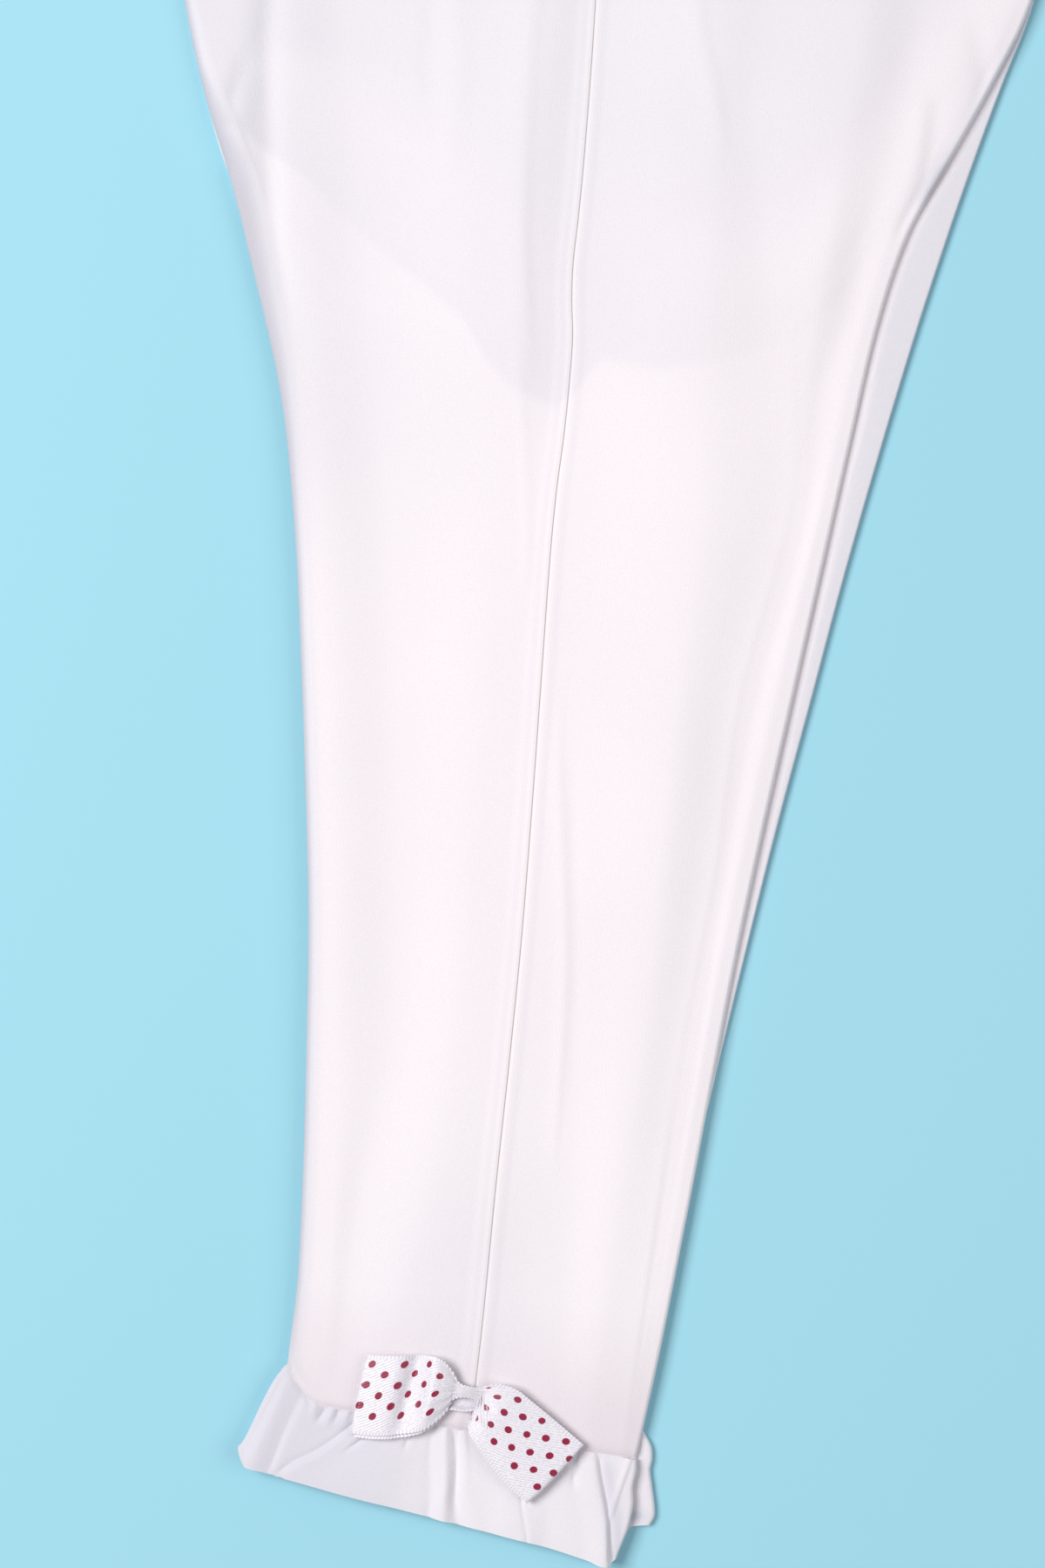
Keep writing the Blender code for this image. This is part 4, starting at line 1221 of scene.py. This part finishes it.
# The ridges' slope along the ribbon, and how much the bias pulls it in the right loop.
RIDGE_SLOPE = math.tan(math.radians(25))
RIDGE_PULL = math.tan(math.radians(32)) - RIDGE_SLOPE
PULLED_FROM = 38.0  # the distance along the ribbon where that begins
UNEVENNESS = 260.0  # the scale at which the ridges and the dots' edges waver
RIDGE_WAVER = 2.4
RIDGE_BREAKS = 1100.0  # and the finer one at which the ridges break up
RIDGE_BROKEN = 3.0
RIDGE_HEIGHT = 0.8
RIDGE_RANGE = (-1.0, 0.4)  # from the full shade to none
PICOT_SHADE = 0.8
DOT_RADIUS = 1.16
DOT_EDGE = 0.1  # how soft the print's edge is
DOT_UNEVEN = 0.35  # and how uneven
DOT_SMOOTHS = 0.75  # how much the print fills the weave
DOT_PITCH = 9.7  # from dot to dot along a row
DOT_ROW = 3.27  # and from row to row
DOT_ROWS = 6
DOT_ROWS_FROM = 2.7
DOTS_START = 1.9
DOT_LEAN = 0.107  # each row sets out this much earlier than the one above


def satin_material():
    """Ribbed satin with rows of dots, every second row set half a step along."""
    material, shader = new_material("dotted_satin", {
        "Roughness": 0.38, "Sheen Weight": 0.15, "Specular IOR Level": 0.5, "Anisotropic": 0.4,
    })
    tree = material.node_tree
    place = linked(tree, "ShaderNodeTexCoord", {}).outputs["UV"]
    width, length = (figured("DIVIDE", part, MM) for part in split(place)[:2])
    uneven = noise(place, UNEVENNESS, 0.0)
    # The dots.
    row = plus(figured("DIVIDE", minus(width, DOT_ROWS_FROM), DOT_ROW), 0.5)
    odd = figured("MODULO", figured("FLOOR", row), 2.0)
    leant = plus(length, times(width, DOT_LEAN))
    step = plus(figured("DIVIDE", minus(leant, DOTS_START), DOT_PITCH), 0.5, times(odd, 0.5))
    off_row = times(minus(figured("FRACT", row), 0.5), DOT_ROW)
    off_step = times(minus(figured("FRACT", step), 0.5), DOT_PITCH)
    away = figured("SQRT", plus(times(off_row, off_row), times(off_step, off_step)))
    away = plus(away, times(minus(uneven, 0.5), DOT_UNEVEN))
    dot = eased(away, DOT_RADIUS - DOT_EDGE, DOT_RADIUS + DOT_EDGE, 1.0, 0.0)
    inside = times(figured("GREATER_THAN", row, 0.0), figured("LESS_THAN", row, float(DOT_ROWS)))
    printed = times(attribute(tree, "face"), attribute(tree, "painted_shade_and_print"))
    dot = times(times(dot, inside), printed)
    # The slanting ridges of the weave, which the selvedges don't have.
    pulled = figured("MAXIMUM", minus(length, PULLED_FROM), 0.0)
    slant = plus(width, times(length, RIDGE_SLOPE), times(pulled, RIDGE_PULL))
    ridge = plus(times(slant, 2 * math.pi / SATIN_RIDGE), times(uneven, RIDGE_WAVER))
    broken = times(minus(noise(place, RIDGE_BREAKS, 1.0), 0.5), RIDGE_BROKEN)
    from_edge = figured("MINIMUM", width, minus(RIBBON_WIDTH, width))
    woven = figured("GREATER_THAN", from_edge, SELVEDGE)
    ridge = times(plus(times(figured("SINE", ridge), RIDGE_HEIGHT), broken), woven)
    loops = times(figured("SINE", times(length, 2 * math.pi / PICOT)), minus(1.0, woven))
    loops = figured("MAXIMUM", times(loops, -PICOT_SHADE), 0.0)
    # Painted shade in the grooves between the weave's ridges and in the gaps between the selvedge's loops.
    shade = minus(eased(ridge, *RIDGE_RANGE, 0.0, 1.0), loops)
    colour = blended(dot, blended(shade, SATIN_SHADE, SATIN), CRIMSON)
    relief = times(ridge, minus(1.0, times(dot, DOT_SMOOTHS)))
    finished(shader, colour, relief, *SATIN_RELIEF)
    return material


# The stitched middle shows the ribbon's plain back, between these places.
PLAIN_FROM = -28.4
PLAIN_TO = -17.6  # at this height, from which the limit leans
PLAIN_MIDDLE = -328
PLAIN_LEAN = 0.26
LOOP_END = 4.0  # more than the way round the left loop's end, where the dots' rows run on


def dotted(x, y, z):
    plain_to = PLAIN_TO + PLAIN_LEAN * (y - PLAIN_MIDDLE)
    return 0.0 if PLAIN_FROM < x < plain_to else 1.0


sections, runs = with_picots(ribbon_lines())
total = runs[-1]
runs = [run - total if total - run < LOOP_END else run for run in runs]
bow = laid_cloth(
    "left_bow_ribbon", sections, RIBBON_WALL, satin_material(), dotted, closed=True, along=runs,
    across=[share * RIBBON_WIDTH for share in ribbon_shares()],
)
# The dots are printed on one face only: the wall's first half of points is that face.
points = len(bow.data.vertices)
faces = bow.data.attributes.new("face", "FLOAT", "POINT")
faces.data.foreach_set("value", [1.0 if i < points / 2 else 0.0 for i in range(points)])
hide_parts("left_bow")
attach(bow, "root")

# The hand stitches: three fine cream threads, sewn over the bow beside its pinch, which
# hold it to the hem. Each lies on the ribbon and dives into it at either end.
HAND_THREAD = 0.15  # its radius
THREAD_LIFT = 2.2 * HAND_THREAD
THREAD_DIVE = 2 * HAND_THREAD
HAND_THREADS = (
    ((-17.4, -321.9), (-17.3, -325.0), (-16.9, -328.2), (-16.3, -331.0), (-15.6, -333.6)),
    ((-16.4, -321.5), (-16.2, -324.6), (-15.9, -327.8), (-15.6, -330.8), (-15.2, -333.9)),
    ((-15.6, -321.9), (-15.2, -325.0), (-14.7, -328.2), (-14.4, -330.8), (-14.5, -333.5)),
)


def hand_thread(number, path):
    """One thread, which follows the ribbon's face and dives into it at either end."""
    deselected()
    bpy.ops.curve.primitive_nurbs_path_add()
    strand = bpy.context.object
    strand.name = f"hand_stitch_{number}"
    strand.data.use_path = False
    strand.data.bevel_depth = HAND_THREAD * MM
    strand.data.bevel_resolution = 2
    strand.data.use_fill_caps = True
    for i, (x, y) in enumerate(path):
        _, face, _, _ = bow.ray_cast((x * MM, y * MM, 1), (0, 0, -1))
        lift = -THREAD_DIVE if i in (0, len(path) - 1) else THREAD_LIFT
        strand.data.splines[0].points[i].co = (x * MM, y * MM, face.z + lift * MM, 1)
    bpy.ops.object.convert(target="MESH")
    strand = bpy.context.object
    bpy.ops.object.shade_smooth()
    strand.data.materials.append(thread)
    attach(strand, "root")


for number, path in enumerate(HAND_THREADS):
    hand_thread(number, path)

# The floor, the light and the camera: the trousers lie on a plain pale board between two
# wide soft lamps, and the camera looks straight down, as in the photo.
FLOOR_SIZE = 24  # metres
FLOOR_COLOUR = (0.36, 0.70, 0.82, 1)
deselected()
bpy.ops.mesh.primitive_plane_add(size=FLOOR_SIZE)
floor = bpy.context.object
floor.name = "floor"
board, _ = new_material("pale_board", {"Base Color": FLOOR_COLOUR, "Roughness": 0.8})
floor.data.materials.append(board)

AIM = (-20.9, -133.3, 6.0)  # the middle of the photo
Lamp = namedtuple("Lamp", "name x y z length width power")  # millimetres and watts
LAMPS = (
    Lamp("left_lamp", -1400, 150, 1900, 1100, 1100, 45.9),
    Lamp("right_lamp", 1500, -200, 1500, 1400, 1400, 11.4),
)
for lamp in LAMPS:
    bpy.ops.object.light_add(type="AREA", location=[c * MM for c in (lamp.x, lamp.y, lamp.z)])
    light = bpy.context.object
    light.name = lamp.name
    light.data.shape = "RECTANGLE"
    light.data.size = lamp.width * MM
    light.data.size_y = lamp.length * MM
    light.data.energy = lamp.power
    light.visible_camera = False
    towards = Vector([(a - b) * MM for a, b in zip(AIM, (lamp.x, lamp.y, lamp.z))])
    light.rotation_euler = towards.to_track_quat("-Z", "Y").to_euler()

WORLD_COLOUR = (0.97, 0.97, 1.0, 1)
WORLD_STRENGTH = 0.27
world = bpy.data.worlds.new("room")
world.use_nodes = True
background = world.node_tree.nodes["Background"].inputs
background["Color"].default_value = WORLD_COLOUR
background["Strength"].default_value = WORLD_STRENGTH
bpy.context.scene.world = world
bpy.context.scene.view_settings.view_transform = "Standard"

PHOTO_HEIGHT = 486.0  # what the photo's long side covers, at the cloth
LENS = 85
SENSOR = 36
PHOTO_TURN = math.radians(5)
distance = PHOTO_HEIGHT * LENS / SENSOR
bpy.ops.object.camera_add(location=[c * MM for c in (AIM[0], AIM[1], AIM[2] + distance)])
camera = bpy.context.object
camera.rotation_euler = (0, 0, PHOTO_TURN)
camera.data.lens = LENS
camera.data.sensor_width = SENSOR
bpy.context.scene.camera = camera
